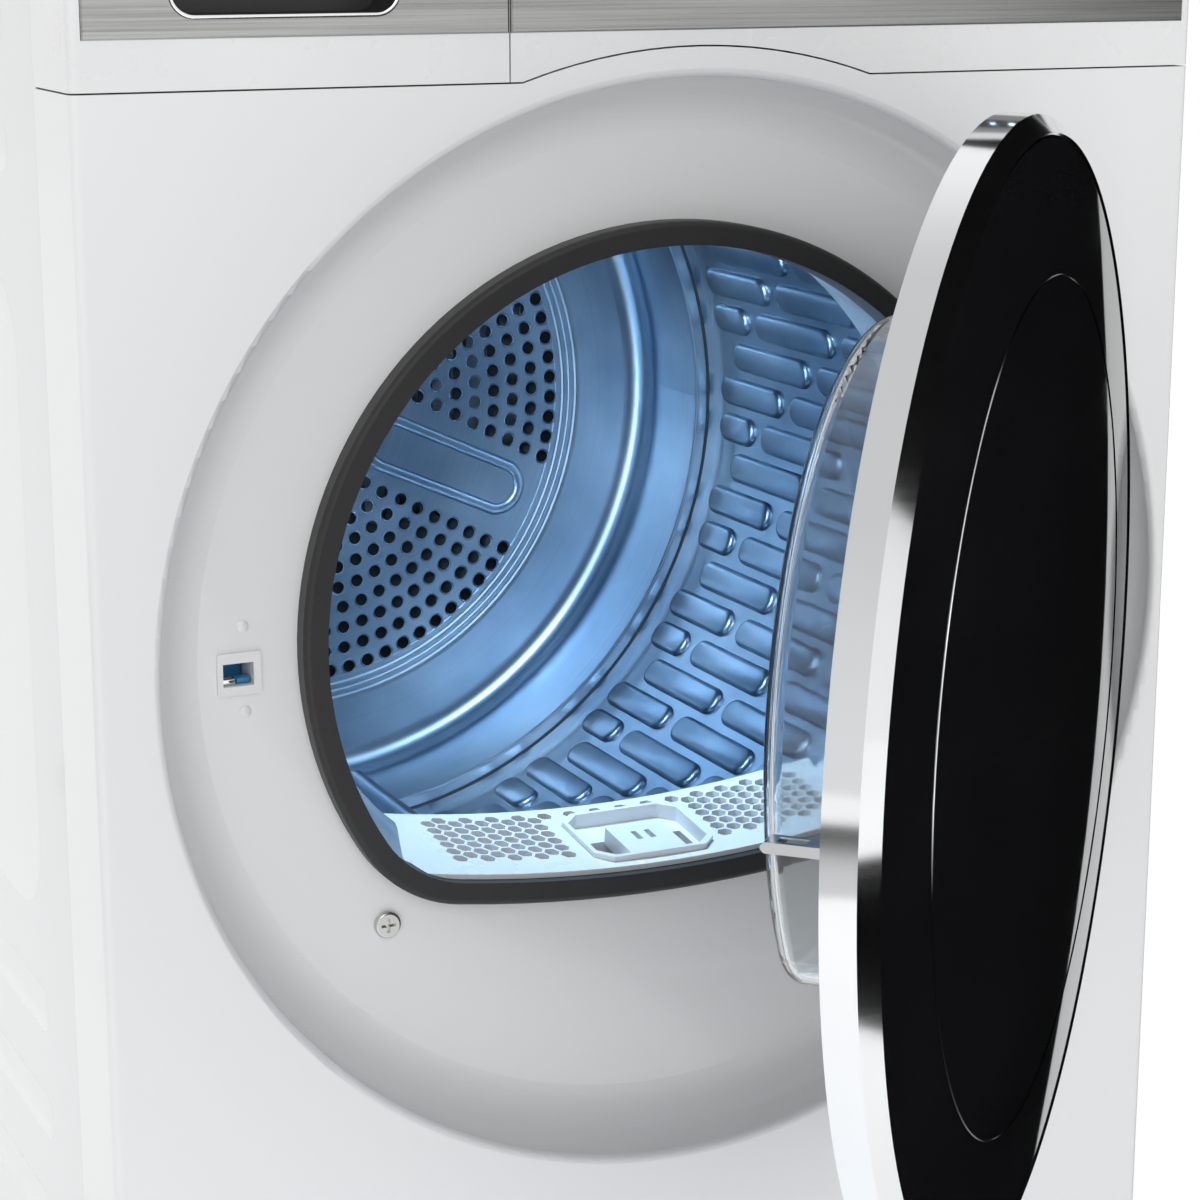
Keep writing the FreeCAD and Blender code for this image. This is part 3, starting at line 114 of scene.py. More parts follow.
def block(low, high):
    """Box between two corners, open for editing."""
    low, high = Vector(low), Vector(high)
    return start(bpy.ops.mesh.primitive_cube_add, size=1, location=(low + high) / 2, scale=high - low)


def joined(pieces):
    clear()
    for piece in pieces:
        piece.select_set(True)
    bpy.context.view_layer.objects.active = pieces[0]
    if len(pieces) > 1:
        bpy.ops.object.join()
    return bpy.context.object


def copied(piece, move):
    """A copy with its own mesh, moved by a matrix."""
    twin = piece.copy()
    twin.data = piece.data.copy()
    twin.data.transform(move)
    bpy.context.collection.objects.link(twin)
    return twin


def about(point, angle, axis):
    """Turn about the line along an axis through a point."""
    return Matrix.Translation(point) @ Matrix.Rotation(angle, 4, axis) @ Matrix.Translation(-point)


# ---- shader maths -------------------------------------------------------------------------
class Value:
    """A number in a node tree that works in ordinary sums."""

    def __init__(self, finish_tree, socket):
        self.tree = finish_tree
        self.socket = socket

    def sum_with(self, operation, *others):
        inputs = {n: other for n, other in enumerate((self,) + others)}
        return Value(self.tree, self.tree.node("ShaderNodeMath", {"operation": operation}, inputs).outputs[0])

    def flipped(self, operation, other):
        node = self.tree.node("ShaderNodeMath", {"operation": operation}, {0: other, 1: self})
        return Value(self.tree, node.outputs[0])

    def __add__(self, other):
        return self.sum_with("ADD", other)

    def __sub__(self, other):
        return self.sum_with("SUBTRACT", other)

    def __mul__(self, other):
        return self.sum_with("MULTIPLY", other)

    def __truediv__(self, other):
        return self.sum_with("DIVIDE", other)

    def __pow__(self, other):
        return self.sum_with("POWER", other)

    def __rsub__(self, other):
        return self.flipped("SUBTRACT", other)

    __radd__ = __add__
    __rmul__ = __mul__

    def step(self, low, high):
        """0 below low, 1 above high, smooth between."""
        node = self.tree.node("ShaderNodeMapRange", {"interpolation_type": "SMOOTHSTEP"},
                              {"Value": self, "From Min": low, "From Max": high})
        return Value(self.tree, node.outputs[0])


class Finish:
    """A material: its node tree and its main shader, with the uniform values on the shader's sockets."""

    def __init__(self, name, **sockets):
        self.material = bpy.data.materials.new(name)
        self.material.use_nodes = True
        self.tree = self.material.node_tree
        self.shader = self.tree.nodes["Principled BSDF"]
        for key, value in sockets.items():
            self.shader.inputs[key.replace("_", " ")].default_value = value
        self.place = self.node("ShaderNodeTexCoord").outputs["Object"]

    def node(self, kind, settings=None, inputs=None):
        made = self.tree.nodes.new(kind)
        for key, value in (settings or {}).items():
            setattr(made, key, value)
        for key, value in (inputs or {}).items():
            self.plug(value, made.inputs[key])
        return made

    def plug(self, value, socket):
        if isinstance(value, Value):
            self.tree.links.new(value.socket, socket)
        elif isinstance(value, bpy.types.NodeSocket):
            self.tree.links.new(value, socket)
        else:
            socket.default_value = value

    def axes(self, place=None):
        split = self.node("ShaderNodeSeparateXYZ", None, {0: place or self.place})
        return [Value(self, out) for out in split.outputs]

    def stretched(self, scale, turn=(0, 0, 0)):
        """Object coordinates, turned and then scaled along each axis."""
        turned = self.node("ShaderNodeMapping", None, {"Vector": self.place, "Rotation": turn}).outputs[0]
        return self.node("ShaderNodeMapping", None, {"Vector": turned, "Scale": scale}).outputs[0]

    def noise(self, scale, place=None, detail=3.0, roughness=0.55):
        made = self.node("ShaderNodeTexNoise", None, {"Vector": place or self.place, "Scale": scale,
                                                      "Detail": detail, "Roughness": roughness})
        return Value(self, made.outputs["Fac"])

    def cells(self, scale, place=None):
        made = self.node("ShaderNodeTexVoronoi", None, {"Vector": place or self.place, "Scale": scale})
        return Value(self, made.outputs["Distance"])

    def blend(self, share, one, other):
        mix = self.node("ShaderNodeMix", {"data_type": "RGBA"}, {0: share, 6: (*one, 1), 7: (*other, 1)})
        return mix.outputs[2]

    def colour(self, share, one, other):
        self.plug(self.blend(share, one, other), self.shader.inputs["Base Color"])

    def set(self, name, value):
        self.plug(value, self.shader.inputs[name])

    def bump(self, height, depth):
        """Raise the surface by height, a value near 0 to 1, times depth in metres."""
        made = self.node("ShaderNodeBump", None, {"Height": height, "Distance": depth, "Strength": 1.0})
        self.plug(made.outputs[0], self.shader.inputs["Normal"])


def shade(colour, times):
    return tuple(min(1.0, c * times) for c in colour)


# ---- finishes -----------------------------------------------------------------------------
def enamel(name, colour):
    """Baked gloss enamel on sheet steel: faint orange peel and polish marks."""
    paint = Finish(name, Coat_Weight=0.5, Coat_Roughness=0.06, Specular_IOR_Level=0.5)
    cloud, peel = paint.noise(3.0), paint.noise(420.0, detail=1.0)
    paint.colour(cloud, shade(colour, 0.99), shade(colour, 1.005))
    paint.set("Roughness", 0.30 + 0.04 * paint.noise(9.0))
    paint.bump(peel, 0.000006)
    return paint.material


def moulded(name, colour, rough=0.38, grain=900.0, depth=0.00004, coat=0.0):
    """Moulded plastic with a fine spark-eroded grain."""
    plastic = Finish(name, Coat_Weight=coat, Coat_Roughness=0.1)
    plastic.colour(plastic.noise(14.0), shade(colour, 0.93), shade(colour, 1.05))
    plastic.set("Roughness", rough + 0.12 * (plastic.noise(30.0) - 0.5))
    plastic.bump(plastic.noise(grain, detail=2.0), depth)
    return plastic.material


def drum_steel():
    """Stainless sheet polished round the drum's axis; both base colours carry a painted blue tint for the cool
    light it lives in.
    """
    steel = Finish("drum_steel", Metallic=1.0)
    x, y, z = steel.axes()
    across, up = x - drum_axis.x, z - drum_axis.z
    radius = (across * across + up * up) ** 0.5
    ring = steel.node("ShaderNodeCombineXYZ", None, {0: radius * 1400.0, 1: y * 1400.0}).outputs[0]
    lines = steel.noise(1.0, ring, detail=2.0)
    broad = steel.noise(7.0)
    # painted light: the blue in both base colours stands in for the cool lamp light inside the drum; the noise mix
    # between them is random tone
    steel.colour(broad.step(0.3, 0.7) * 0.6 + lines * 0.4, (0.20, 0.27, 0.35), (0.52, 0.59, 0.66))
    steel.set("Roughness", 0.23 + 0.10 * lines + 0.07 * broad)
    steel.bump(lines, 0.000015)
    return steel.material


def brushed(name, along, colour, rough=0.3):
    """Metal brushed along one axis: along is the share of the pattern's scale on X, Y and Z."""
    metal = Finish(name, Metallic=1.0)
    lines = metal.noise(1.0, metal.stretched(along), detail=4.0, roughness=0.7)
    metal.colour(lines.step(0.25, 0.75), shade(colour, 0.72), shade(colour, 1.18))
    metal.set("Roughness", rough + 0.2 * (lines - 0.5))
    metal.bump(lines, 0.00003)
    return metal.material


def chrome(name, colour=(0.86, 0.87, 0.88), rough=0.07):
    """Bright plated surface with faint wiping marks."""
    plated = Finish(name, Metallic=1.0)
    wipes = plated.noise(1.0, plated.stretched((30, 30, 160)), detail=2.0)
    plated.colour(plated.noise(12.0), shade(colour, 0.95), shade(colour, 1.03))
    plated.set("Roughness", rough + 0.05 * wipes)
    plated.bump(plated.noise(18.0, detail=1.0), 0.00002)
    return plated.material


def galvanised(name, colour):
    """Zinc-coated sheet with its spangle."""
    sheet = Finish(name, Metallic=0.9)
    spangle = sheet.cells(60.0)
    sheet.colour(spangle.step(0.1, 0.7), shade(colour, 0.85), shade(colour, 1.08))
    sheet.set("Roughness", 0.34 + 0.16 * sheet.noise(40.0))
    sheet.bump(spangle, 0.00003)
    return sheet.material


def rubber(name, colour, rough=0.55):
    """Moulded rubber with a fine matt skin."""
    seal = Finish(name, Specular_IOR_Level=0.45, Sheen_Weight=0.08)
    seal.colour(seal.noise(25.0), shade(colour, 0.8), shade(colour, 1.25))
    seal.set("Roughness", rough + 0.15 * (seal.noise(60.0) - 0.5))
    seal.bump(seal.noise(1500.0, detail=2.0), 0.00003)
    return seal.material


def dark_glass(name):
    """Black printed glass, gloss, with faint smears."""
    pane = Finish(name, Coat_Weight=0.4, Coat_Roughness=0.02, IOR=1.45)
    smear = pane.noise(1.0, pane.stretched((9, 9, 30)), detail=2.0)
    pane.colour(smear, (0.004, 0.004, 0.005), (0.009, 0.009, 0.010))
    pane.set("Roughness", 0.035 + 0.05 * smear.step(0.55, 0.8))
    pane.bump(pane.noise(6.0, detail=1.0), 0.000004)
    return pane.material


def clear_glass(name):
    """Thick pressed glass with slight waviness."""
    pane = Finish(name, Transmission_Weight=1.0, IOR=1.46)
    pane.colour(pane.noise(8.0), (0.93, 0.96, 0.975), (0.97, 0.99, 1.0))
    pane.set("Roughness", 0.01 + 0.02 * pane.noise(20.0))
    pane.bump(pane.noise(30.0, detail=1.0), 0.00004)
    return pane.material


def window_line_painted_highlight(hub):
    """Polished edge line with a painted highlight: its base colour is bright high on the free side of the glass
    and dark elsewhere.
    """
    line = Finish("window_line_painted_highlight", Metallic=1.0)
    x, y, z = line.axes()
    # painted highlight: lit marks where the line's base colour is painted bright
    lit = z.step(hub.z - 30 * MM, hub.z + 20 * MM) * (1 - z.step(hub.z + 160 * MM, hub.z + 185 * MM))
    lit = lit * (1 - y.step(hub.y - 40 * MM, hub.y - 10 * MM))
    line.colour(lit, (0.004, 0.004, 0.005), (0.85, 0.86, 0.87))
    line.set("Roughness", 0.12 + 0.05 * line.noise(80.0))
    return line.material


def woven(name, colour):
    """Fine filter cloth: two sets of threads."""
    cloth = Finish(name, Sheen_Weight=0.3)
    x, y, z = cloth.axes()
    warp, weft = (x * 5200.0).sum_with("SINE"), (z * 5200.0).sum_with("SINE")
    weave = warp * weft * 0.5 + 0.5
    cloth.colour(weave, shade(colour, 0.7), shade(colour, 1.1))
    cloth.set("Roughness", 0.75 + 0.1 * cloth.noise(80.0))
    cloth.bump(weave, 0.00008)
    return cloth.material


def cast(name, colour, metallic=0.6):
    """Rough cast or painted machine body."""
    body = Finish(name, Metallic=metallic)
    grit = body.noise(220.0, detail=5.0)
    body.colour(grit, shade(colour, 0.75), shade(colour, 1.2))
    body.set("Roughness", 0.42 + 0.25 * grit)
    body.bump(grit, 0.0001)
    return body.material


def circuit(name):
    """Lacquered circuit board with its copper tracks."""
    board = Finish(name, Coat_Weight=0.6, Coat_Roughness=0.15)
    tracks = board.cells(240.0)
    board.colour(tracks.step(0.25, 0.4), (0.01, 0.09, 0.035), (0.03, 0.20, 0.08))
    board.set("Roughness", 0.35 + 0.2 * board.noise(90.0))
    board.bump(tracks, 0.00005)
    return board.material


def glow(name, colour, strength):
    lamp = Finish(name, Emission_Strength=strength, Roughness=0.3)
    lamp.colour(lamp.noise(50.0), shade(colour, 0.9), colour)
    lamp.set("Emission Color", lamp.blend(lamp.noise(120.0), shade(colour, 0.85), colour))
    return lamp.material


white = (0.79, 0.795, 0.80)
finishes = {
    "white_steel": enamel("white_steel", white),
    "white_plastic": moulded("white_plastic", white, rough=0.28, depth=0.00002, coat=0.3),
    "galvanised_steel": galvanised("galvanised_steel", (0.55, 0.57, 0.59)),
    "drum_steel": drum_steel(),
    "brushed_trim": brushed("brushed_trim", (6, 900, 900), (0.42, 0.42, 0.415)),
    "chrome_trim": chrome("chrome_trim"),
    "zinc_screws": chrome("zinc_screws", (0.62, 0.62, 0.60), 0.22),
    "gasket_rubber": rubber("gasket_rubber", (0.022, 0.022, 0.023)),
    "belt_rubber": rubber("belt_rubber", (0.012, 0.012, 0.012), 0.7),
    "black_glass": dark_glass("black_glass"),
    "clear_glass": clear_glass("clear_glass"),
    "black_plastic": moulded("black_plastic", (0.022, 0.022, 0.024), 0.42),
    "grey_plastic": moulded("grey_plastic", (0.20, 0.205, 0.215), 0.45),
    "tank_plastic": moulded("tank_plastic", (0.66, 0.71, 0.74), 0.3, 400.0),
    "green_board": circuit("green_board"),
    "filter_fabric": woven("filter_fabric", (0.42, 0.46, 0.50)),
    "machined_steel": brushed("machined_steel", (300, 8, 300), (0.5, 0.5, 0.5), 0.28),
    "motor_iron": cast("motor_iron", (0.11, 0.11, 0.12)),
    # black enamel; on the rear bulkhead behind the plate's holes this black is painted shade for the dark seen
    # through the holes
    "black_shell_steel": enamel("black_shell_steel", (0.016, 0.016, 0.017)),
    "fin_aluminium": brushed("fin_aluminium", (20, 400, 20), (0.6, 0.61, 0.62), 0.35),
    "copper": brushed("copper", (300, 12, 300), (0.62, 0.27, 0.14), 0.25),
}
white_rib = moulded("filter_white", white, rough=0.33, depth=0.00002, coat=0.2)
lamp_blue = glow("lamp_glow", (0.55, 0.80, 1.0), 3.0)
key_blue = moulded("key_blue", (0.03, 0.20, 0.42), 0.3)

for entry in frame["record"]["subparts"]:
    node = nodes[entry["node"]]
    node.data.materials.clear()
    node.data.materials.append(finishes[entry["material_slot"]])
nodes["filter_frame"].data.materials[0] = white_rib


# ---- drum ---------------------------------------------------------------------------------
pad_width = 20 * MM
pad_rise = 3.6 * MM
pad_pitch = 116 * MM
pad_gap = 13 * MM
row_groups = 23
rows_per_group = 3
first_row_turn = math.radians(-23.4 - 90)
first_pad_y = drum_low.y + 265 * MM
pads_front = drum_low.y + 14 * MM
pads_rear = drum_high.y - 9 * MM


def drum_pad(y0, y1):
    """One pressed pad at the bottom of the drum wall, rounded all round."""
    floor = drum_axis.z - drum_radius
    half = pad_width / 2
    pad = block((drum_axis.x - half, y0, floor - 0.8 * MM), (drum_axis.x + half, y1, floor + pad_rise))
    pick(pad, "EDGE", lambda e: abs(heading(e).z) > 0.9)
    bpy.ops.mesh.bevel(offset=half * 0.97, segments=5, affect="EDGES")
    pick(pad, "EDGE", lambda e: min(v.co.z for v in e.verts) > floor + pad_rise - 0.0001)
    bpy.ops.mesh.bevel(offset=pad_rise * 0.92, segments=3, affect="EDGES")
    pick(pad, "FACE", lambda f: f.normal.z < -0.9)
    bpy.ops.mesh.delete(type="FACE")
    clear()
    return pad


def drum_pads():
    """Rows of pads round the drum wall, each row one third of a pitch on from the last."""
    turn = 2 * math.pi / (row_groups * rows_per_group)
    pieces = []
    for phase in range(rows_per_group):
        y = first_pad_y + phase * pad_pitch / rows_per_group - 4 * pad_pitch
        while y < pads_rear:
            y0, y1 = max(y, pads_front), min(y + pad_pitch - pad_gap, pads_rear)
            if y1 - y0 > 1.4 * pad_width:
                pad = drum_pad(y0, y1)
                pad.data.transform(about(drum_axis, -first_row_turn - math.pi / 2 + phase * turn, "Y"))
                pieces.append(pad)
            y += pad_pitch
    group = joined(pieces)
    twins = [copied(group, about(drum_axis, n * rows_per_group * turn, "Y")) for n in range(1, row_groups)]
    finish(joined([group] + twins), "drum_pads", "drum", finishes["drum_steel"], 60)


def ring_about_drum(radius, thickness, y, segments=160, sides=8):
    ring = start(bpy.ops.mesh.primitive_torus_add, location=drum_axis + Vector((0, y, 0)),
                 rotation=(math.pi / 2, 0, 0), major_radius=radius, minor_radius=thickness,
                 major_segments=segments, minor_segments=sides)
    clear()
    return ring


plate_steps = [(201 * MM, 1.6 * MM), (206 * MM, 1.3 * MM), (211 * MM, 1.8 * MM)]
step_sink = 0.6 * MM
seam_inset = 8 * MM
ring_lip_inset = 17.5 * MM


def plate_rings():
    """Pressed steps round the perforated plate."""
    rings = [ring_about_drum(radius, wire, plate_face - step_sink) for radius, wire in plate_steps]
    finish(joined(rings), "plate_rings", "drum", finishes["drum_steel"])


def seam_ring():
    """Black ring of painted shade in the seam groove of the flat ring behind the drum wall, and the bright lip
    inside it.
    """
    # painted shade: a black ring stands for the shade in the seam groove of the steel
    ring = ring_about_drum(drum_radius - seam_inset, 1.1 * MM, drum_high.y - 0.2 * MM)
    finish(ring, "drum_seam_painted_shade", "drum", finishes["black_plastic"])
    lip_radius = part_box("drum_back")[1].x - drum_axis.x - ring_lip_inset
    lip = ring_about_drum(lip_radius, 1.2 * MM, drum_high.y + 0.2 * MM)
    finish(lip, "drum_ring_lip", "drum", finishes["drum_steel"])


hole_radius = 4.5 * MM
hole_pitch = 14.3 * MM
hole_row_pitch = 14.4 * MM
first_hole_row = 62 * MM
last_hole_row = 195 * MM
bead_turns = [math.radians(95.5 + 120 * n) for n in range(3)]
bead_inner = 55 * MM
bead_outer = 186 * MM
bead_half = 21 * MM
bead_tube = 4.2 * MM


def clear_of_beads(radius, turn):
    for bead in bead_turns:
        off = (turn - bead + math.pi) % (2 * math.pi) - math.pi
        if abs(off) < math.pi / 2 and abs(radius * math.sin(off)) < bead_half + hole_radius + 2 * MM:
            return False
    return True


def hole_rims():
    """A bright rounded rim round each hole of the plate."""
    rim = start(bpy.ops.mesh.primitive_torus_add, location=(0, 0, 0), rotation=(math.pi / 2, 0, 0),
                major_radius=hole_radius + 0.5 * MM, minor_radius=0.75 * MM, major_segments=14,
                minor_segments=4)
    clear()
    rims = []
    radius, row = first_hole_row, 0
    while radius < last_hole_row:
        count = int(2 * math.pi * radius / hole_pitch)
        for n in range(count):
            turn = (n + 0.5 * (row % 2)) * 2 * math.pi / count
            if clear_of_beads(radius, turn):
                spot = drum_axis + Vector((radius * math.cos(turn), plate_face, radius * math.sin(turn)))
                rims.append(copied(rim, Matrix.Translation(spot)))
        radius += hole_row_pitch
        row += 1
    bpy.data.objects.remove(rim)
    finish(joined(rims), "hole_rims", "drum", finishes["drum_steel"], 60)


def plate_beads():
    """Long oval beads pressed along three spokes of the plate."""
    beads = []
    for bead in bead_turns:
        oval = start(bpy.ops.mesh.primitive_torus_add, location=(0, 0, 0), rotation=(math.pi / 2, 0, 0),
                     major_radius=bead_half - bead_tube, minor_radius=bead_tube, major_segments=28,
                     minor_segments=10)
        pick(oval, "VERT", lambda v: v.co.x > 0.0001)
        bpy.ops.transform.translate(value=(bead_outer - bead_inner - 2 * bead_half, 0, 0))
        bpy.ops.mesh.select_all(action="SELECT")
        bpy.ops.transform.resize(value=(1, 0.5, 1), center_override=(0, 0, 0))
        clear()
        oval.data.transform(Matrix.Translation((bead_inner + bead_half, 0, 0)))
        oval.data.transform(Matrix.Rotation(-bead, 4, "Y"))
        oval.data.transform(Matrix.Translation(drum_axis + Vector((0, plate_face, 0))))
        beads.append(oval)
    finish(joined(beads), "plate_beads", "drum", finishes["drum_steel"], 60)


# ---- cabinet sides, latch and drawer grip ---------------------------------------------------
pad_corner = 45 * MM
rib_levels = [z * MM for z in (120, 180, 240, 680, 740)]


def raised_pad(face, side, low, high, slope, corner):
    """Pressed pad on a side sheet: a plateau whose rim slopes softly down to the sheet."""
    inner = face - side * 0.98 * MM
    pad = block((min(face, inner), low[0], low[1]), (max(face, inner), high[0], high[1]))
    pick(pad, "EDGE", lambda e: abs(heading(e).x) > 0.9)
    bpy.ops.mesh.bevel(offset=corner, segments=8, affect="EDGES")
    pick(pad, "FACE", lambda f: f.normal.x * side > 0.9)
    bpy.ops.mesh.inset(thickness=slope, depth=0)
    rim = {v.index for f in bmesh.from_edit_mesh(pad.data).faces if f.select for v in f.verts}
    pick(pad, "VERT", lambda v: abs(v.co.x - face) < 0.01 * MM and v.index not in rim)
    bpy.ops.transform.translate(value=(-side * 0.96 * MM, 0, 0))
    clear()
    return pad


def side_panel(name, side):
    """Side sheet with one large pressed frame, cross ribs and the fold behind the rear cover."""
    low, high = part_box(name)
    face = high.x if side > 0 else low.x
    skin = face - side * 1 * MM
    inner = skin - side * 1 * MM
    fold = skin - side * 14 * MM
    pieces = []
    for x, y0 in ((inner, low.y), (fold, high.y - 1 * MM)):
        sheet = block((min(x, skin), y0, low.z), (max(x, skin), high.y, high.z))
        pick(sheet, "EDGE", lambda e: abs(heading(e).z) > 0.9)
        bpy.ops.mesh.bevel(offset=0.3 * MM, segments=2, affect="EDGES")
        clear()
        pieces.append(sheet)
    y0, y1 = low.y + 60 * MM, high.y - 60 * MM
    pieces.append(raised_pad(face, side, (y0, 290 * MM), (y1, 620 * MM), 14 * MM, pad_corner))
    for z in rib_levels:
        pieces.append(raised_pad(face, side, (y0, z - 12 * MM), (y1, z + 12 * MM), 9 * MM, 11.5 * MM))
    finish(joined(pieces), name + "_pressed", "cabinet", finishes["white_steel"], 40, (name,))


def latch_insert():
    """Metal strike and blue switch tongue in the latch slot, under and behind the hook's path."""
    low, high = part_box("latch_socket")
    x, z = (low.x + high.x) / 2, (low.z + high.z) / 2
    mouth, hook_end = low.y + 3 * MM, low.y + 18 * MM
    floor, hook_low = z - 5.7 * MM, z - 3 * MM

    def small(x0, x1, y0, y1, top, corner):
        made = block((x + x0 * MM, y0, floor), (x + x1 * MM, y1, top))
        pick(made, "EDGE", lambda e: abs(heading(e).y) < 0.1)
        bpy.ops.mesh.bevel(offset=corner * MM, segments=2, affect="EDGES")
        clear()
        return made

    strike = small(-7.8, -1.2, mouth, mouth + 3 * MM, hook_low, 0.5)
    finish(strike, "latch_strike", "cabinet", finishes["chrome_trim"])
    tongue = [small(-0.4, 6.6, mouth + 1 * MM, mouth + 9 * MM, hook_low, 0.6),
              small(-7.6, 6.6, hook_end, hook_end + 5 * MM, z + 5 * MM, 0.8)]
    finish(joined(tongue), "latch_tongue", "cabinet", key_blue)


def grip_rim():
    """Bright rim round the drawer's finger pocket."""
    low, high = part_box("tank_grip")
    rim = block((low.x, low.y - 0.2 * MM, low.z), (high.x, low.y + 2.2 * MM, high.z))
    pick(rim, "EDGE", lambda e: abs(heading(e).y) > 0.9)
    bpy.ops.mesh.bevel(offset=12 * MM, segments=10, affect="EDGES")
    pick(rim, "FACE", lambda f: abs(f.normal.y) > 0.9)
    bpy.ops.mesh.inset(thickness=1.7 * MM, depth=0)
    bpy.ops.mesh.bridge_edge_loops()
    clear()
    bevel = rim.modifiers.new("round", "BEVEL")
    bevel.width, bevel.segments, bevel.angle_limit = 0.5 * MM, 2, math.radians(60)
    bevel.limit_method = "ANGLE"
    rim.select_set(True)
    bpy.context.view_layer.objects.active = rim
    bpy.ops.object.modifier_apply(modifier="round")
    finish(rim, "grip_rim", "tank", finishes["chrome_trim"], 40)


window_radius = 197 * MM
window_wire = 0.45 * MM
glass_dome = 12 * MM


def window_edge():
    """Line round the clear middle of the door's dark glass, its brightness a painted highlight high on the free
    side.
    """
    glass = nodes["door_glass"]
    shut = about(door_pin, -door_turn, "Z")
    spots = [shut @ (glass.matrix_world @ v.co) for v in glass.data.vertices]
    low = Vector([min(v[k] for v in spots) for k in range(3)])
    high = Vector([max(v[k] for v in spots) for k in range(3)])
    glass_radius = (high.x - low.x) / 2
    face = low.y + glass_dome * (window_radius / glass_radius) ** 2
    hub = ((low.x + high.x) / 2, face, (low.z + high.z) / 2)
    line = start(bpy.ops.mesh.primitive_torus_add, location=hub, rotation=(math.pi / 2, 0, 0),
                 major_radius=window_radius, minor_radius=window_wire, major_segments=160,
                 minor_segments=6)
    clear()
    line.data.transform(shut.inverted())
    finish(line, "window_edge", "door", window_line_painted_highlight(middle("door_glass")))


# ---- control panel ------------------------------------------------------------------------
def knob_grip():
    """Fluted skirt round the programme knob."""
    low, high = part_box("programme_knob")
    spot = Vector(((low.x + high.x) / 2, low.y + 10 * MM, (low.z + high.z) / 2))
    radius = (high.x - low.x) / 2
    skirt = start(bpy.ops.mesh.primitive_cylinder_add, vertices=96, radius=radius + 0.7 * MM, depth=14 * MM,
                  location=spot, rotation=(math.pi / 2, 0, 0))
    pick(skirt, "FACE", lambda f: abs(f.normal.y) > 0.9)
    bpy.ops.mesh.delete(type="FACE")
    pick(skirt, "FACE", lambda f: int(math.degrees(math.atan2(f.normal.z, f.normal.x)) / 3.75 + 100) % 2)
    bpy.ops.mesh.inset(thickness=0.25 * MM, depth=-0.5 * MM, use_individual=True)
    finish(skirt, "knob_grip", "programme_knob", finishes["chrome_trim"], 30)


mark_count = 6
mark_ring = 38 * MM
mark_radius = 1.0 * MM
bar_count = 7
bar_margin = 14 * MM


def panel_dots():
    """Programme marks round the knob and lit bars in the display."""
    dots = []
    low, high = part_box("programme_knob")
    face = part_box("fascia_trim")[0].y
    hub = Vector(((low.x + high.x) / 2, face, (low.z + high.z) / 2))
    for n in range(mark_count):
        turn = math.pi * (n + 0.5) / mark_count
        spot = hub + mark_ring * Vector((math.cos(turn), 0, math.sin(turn)))
        dot = start(bpy.ops.mesh.primitive_uv_sphere_add, segments=12, ring_count=8, radius=mark_radius,
                    location=spot)
        bpy.ops.transform.resize(value=(1, 0.3, 1), center_override=spot)
        clear()
        dots.append(dot)
    finish(joined(dots), "programme_marks", "cabinet", finishes["black_plastic"])
    low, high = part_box("display_window")
    bars = []
    for n in range(bar_count):
        x = low.x + bar_margin + n * (high.x - low.x - 2 * bar_margin) / (bar_count - 1)
        tall = (4 + 3 * (n % 3)) * MM
        bar = block((x - 1.4 * MM, low.y - 0.05 * MM, middle("display_window").z - tall / 2),
                    (x + 1.4 * MM, low.y + 0.3 * MM, middle("display_window").z + tall / 2))
        pick(bar, "EDGE", lambda e: abs(heading(e).y) > 0.9)
        bpy.ops.mesh.bevel(offset=0.6 * MM, segments=2, affect="EDGES")
        clear()
        bars.append(bar)
    finish(joined(bars), "display_bars", "cabinet", lamp_blue)


# ---- stage --------------------------------------------------------------------------------
world_base = 0.66
world_shares = [(0.2, 0.7, 0.34), (-0.3, -0.9, 0.33)]
lamp_colour = (0.48, 0.74, 1.0)
eye_place = (-0.6246, -1.56766, 0.78787)
eye_heading = (0.41293, 0.88049, -0.23286)
eye_lens = 85.83


def area_light(name, place, aim, size, power, colour=(1, 1, 1)):
    light = bpy.data.lights.new(name, "AREA")
    light.shape, light.size, light.energy, light.color = "DISK", size, power, colour
    holder = bpy.data.objects.new(name, light)
    holder.location = place
    holder.rotation_euler = (Vector(aim) - Vector(place)).to_track_quat("-Z", "Y").to_euler()
    bpy.context.collection.objects.link(holder)


def flag(name, low, high, dark=0.002, light=0.002, start_x=0.0, end_x=1.0):
    """Card that only mirror-like surfaces see, from its dark to its light side along X."""
    card = block(low, high)
    clear()
    card.name = name
    velvet = Finish(name, Roughness=1.0, Specular_IOR_Level=0.0)
    x, y, z = velvet.axes()
    velvet.colour(x.step(start_x, end_x), (dark, dark, dark), (light, light, light))
    card.data.materials.append(velvet.material)
    for ray in ("camera", "diffuse", "transmission", "shadow", "volume_scatter"):
        setattr(card, "visible_" + ray, False)


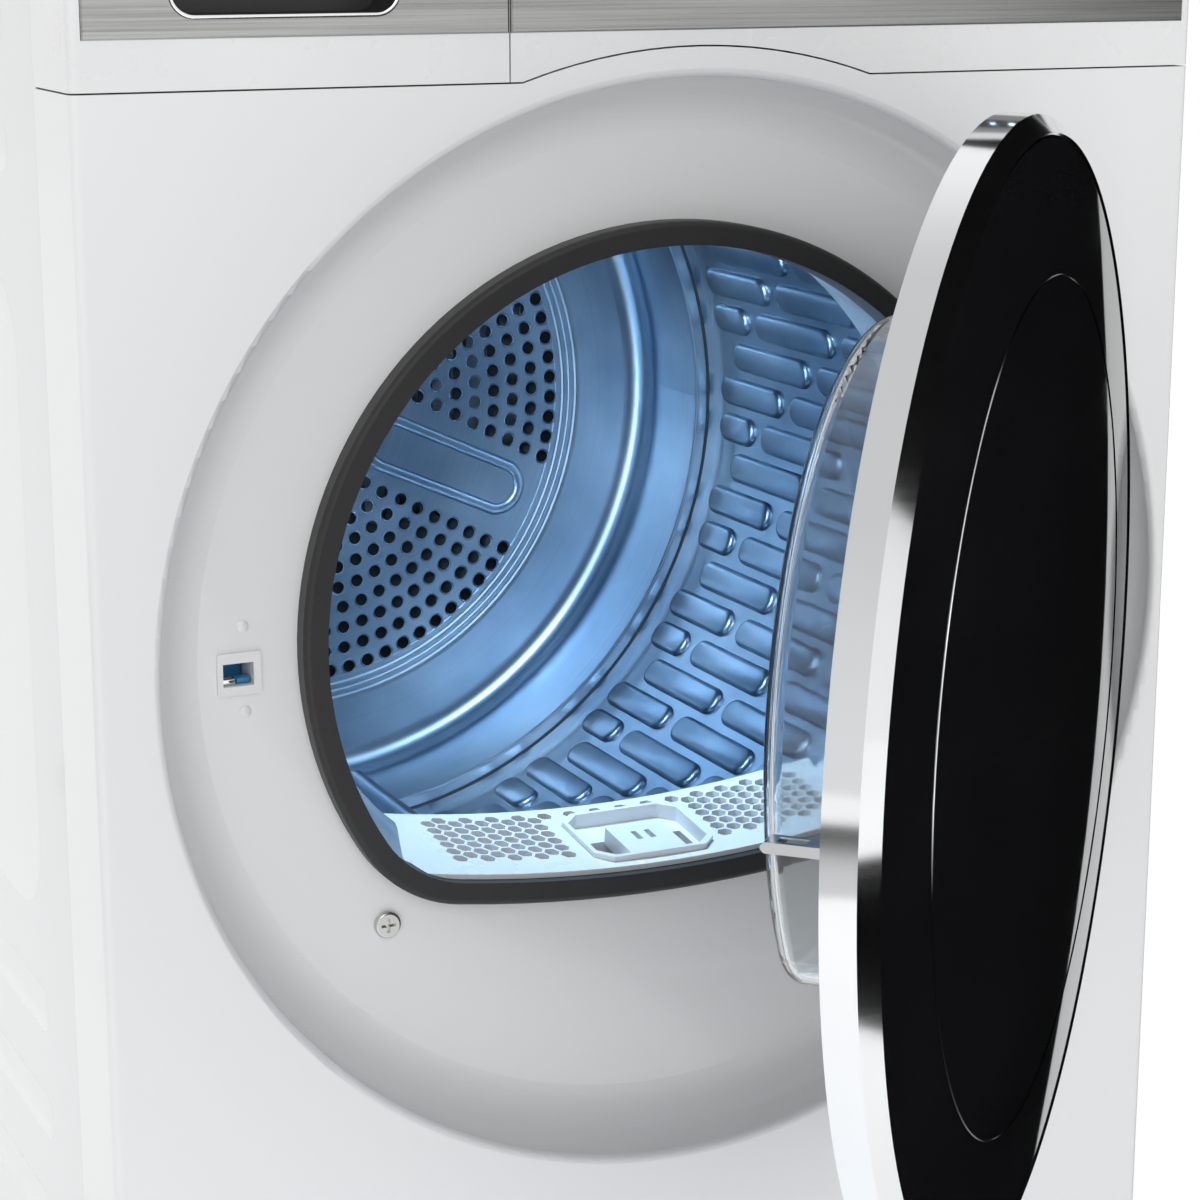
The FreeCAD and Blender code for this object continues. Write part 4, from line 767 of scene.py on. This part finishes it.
def studio_world():
    """White behind the machine, a little softer in front of it, softest at the sides and above."""
    world = bpy.data.worlds.new("studio")
    bpy.context.scene.world = world
    world.use_nodes = True
    tree = world.node_tree
    ground = tree.nodes["Background"]
    split = tree.nodes.new("ShaderNodeSeparateXYZ")
    tree.links.new(tree.nodes.new("ShaderNodeTexCoord").outputs["Generated"], split.inputs[0])
    total = world_base
    for low, high, share in world_shares:
        ramp = tree.nodes.new("ShaderNodeMapRange")
        ramp.interpolation_type = "SMOOTHSTEP"
        tree.links.new(split.outputs["Y"], ramp.inputs["Value"])
        for key, value in (("From Min", low), ("From Max", high), ("To Max", share)):
            ramp.inputs[key].default_value = value
        both = tree.nodes.new("ShaderNodeMath")
        tree.links.new(ramp.outputs[0], both.inputs[0])
        if isinstance(total, float):
            both.inputs[1].default_value = total
        else:
            tree.links.new(total, both.inputs[1])
        total = both.outputs[0]
    tree.links.new(total, ground.inputs["Strength"])
    ground.inputs["Color"].default_value = (1.0, 1.0, 1.0, 1)


def stage():
    floor = start(bpy.ops.mesh.primitive_plane_add, size=14, location=(0, 0, 0))
    clear()
    floor.name = "floor"
    pale = Finish("floor_pale", Roughness=0.6, Emission_Strength=0.37)
    pale.colour(pale.noise(2.0), (0.86, 0.86, 0.865), (0.89, 0.89, 0.89))
    pale.set("Emission Color", pale.blend(pale.noise(2.0), (0.99, 0.99, 0.99), (1, 1, 1)))
    floor.data.materials.append(pale.material)
    flag("flag_right", (1.30, -1.9, 0.0), (1.31, 2.6, 2.4))
    flag("flag_low", (0.27, -1.9, 0.002), (1.30, 1.5, 0.006))
    flag("flag_left", (-2.6, -3.4, 0.002), (-1.0, 0.8, 0.006), 0.10, 0.75, -2.1, -1.2)
    studio_world()
    area_light("key", (-0.5, -2.9, 1.9), (0, 0, 0.45), 1.6, 11)
    area_light("drum_glow", drum_axis + Vector((-0.02, drum_low.y + 0.04, 0.17)),
               drum_axis + Vector((0.12, drum_high.y - 0.18, -0.28)), 0.12, 2.0, lamp_colour)
    area_light("drum_glow_low", drum_axis + Vector((-0.12, drum_low.y + 0.05, -0.05)),
               drum_axis + Vector((0.05, drum_high.y, 0.02)), 0.10, 0.7, lamp_colour)


def camera():
    lens = bpy.data.cameras.new("camera")
    lens.sensor_width, lens.lens = 36.0, eye_lens
    eye = bpy.data.objects.new("camera", lens)
    eye.location = eye_place
    eye.rotation_euler = Vector(eye_heading).to_track_quat("-Z", "Y").to_euler()
    bpy.context.collection.objects.link(eye)
    bpy.context.scene.camera = eye
    bpy.context.scene.view_settings.view_transform = "Standard"


drum_pads()
plate_rings()
seam_ring()
hole_rims()
plate_beads()
side_panel("left_side_panel", -1)
side_panel("right_side_panel", 1)
latch_insert()
grip_rim()
window_edge()
knob_grip()
panel_dots()
stage()
camera()
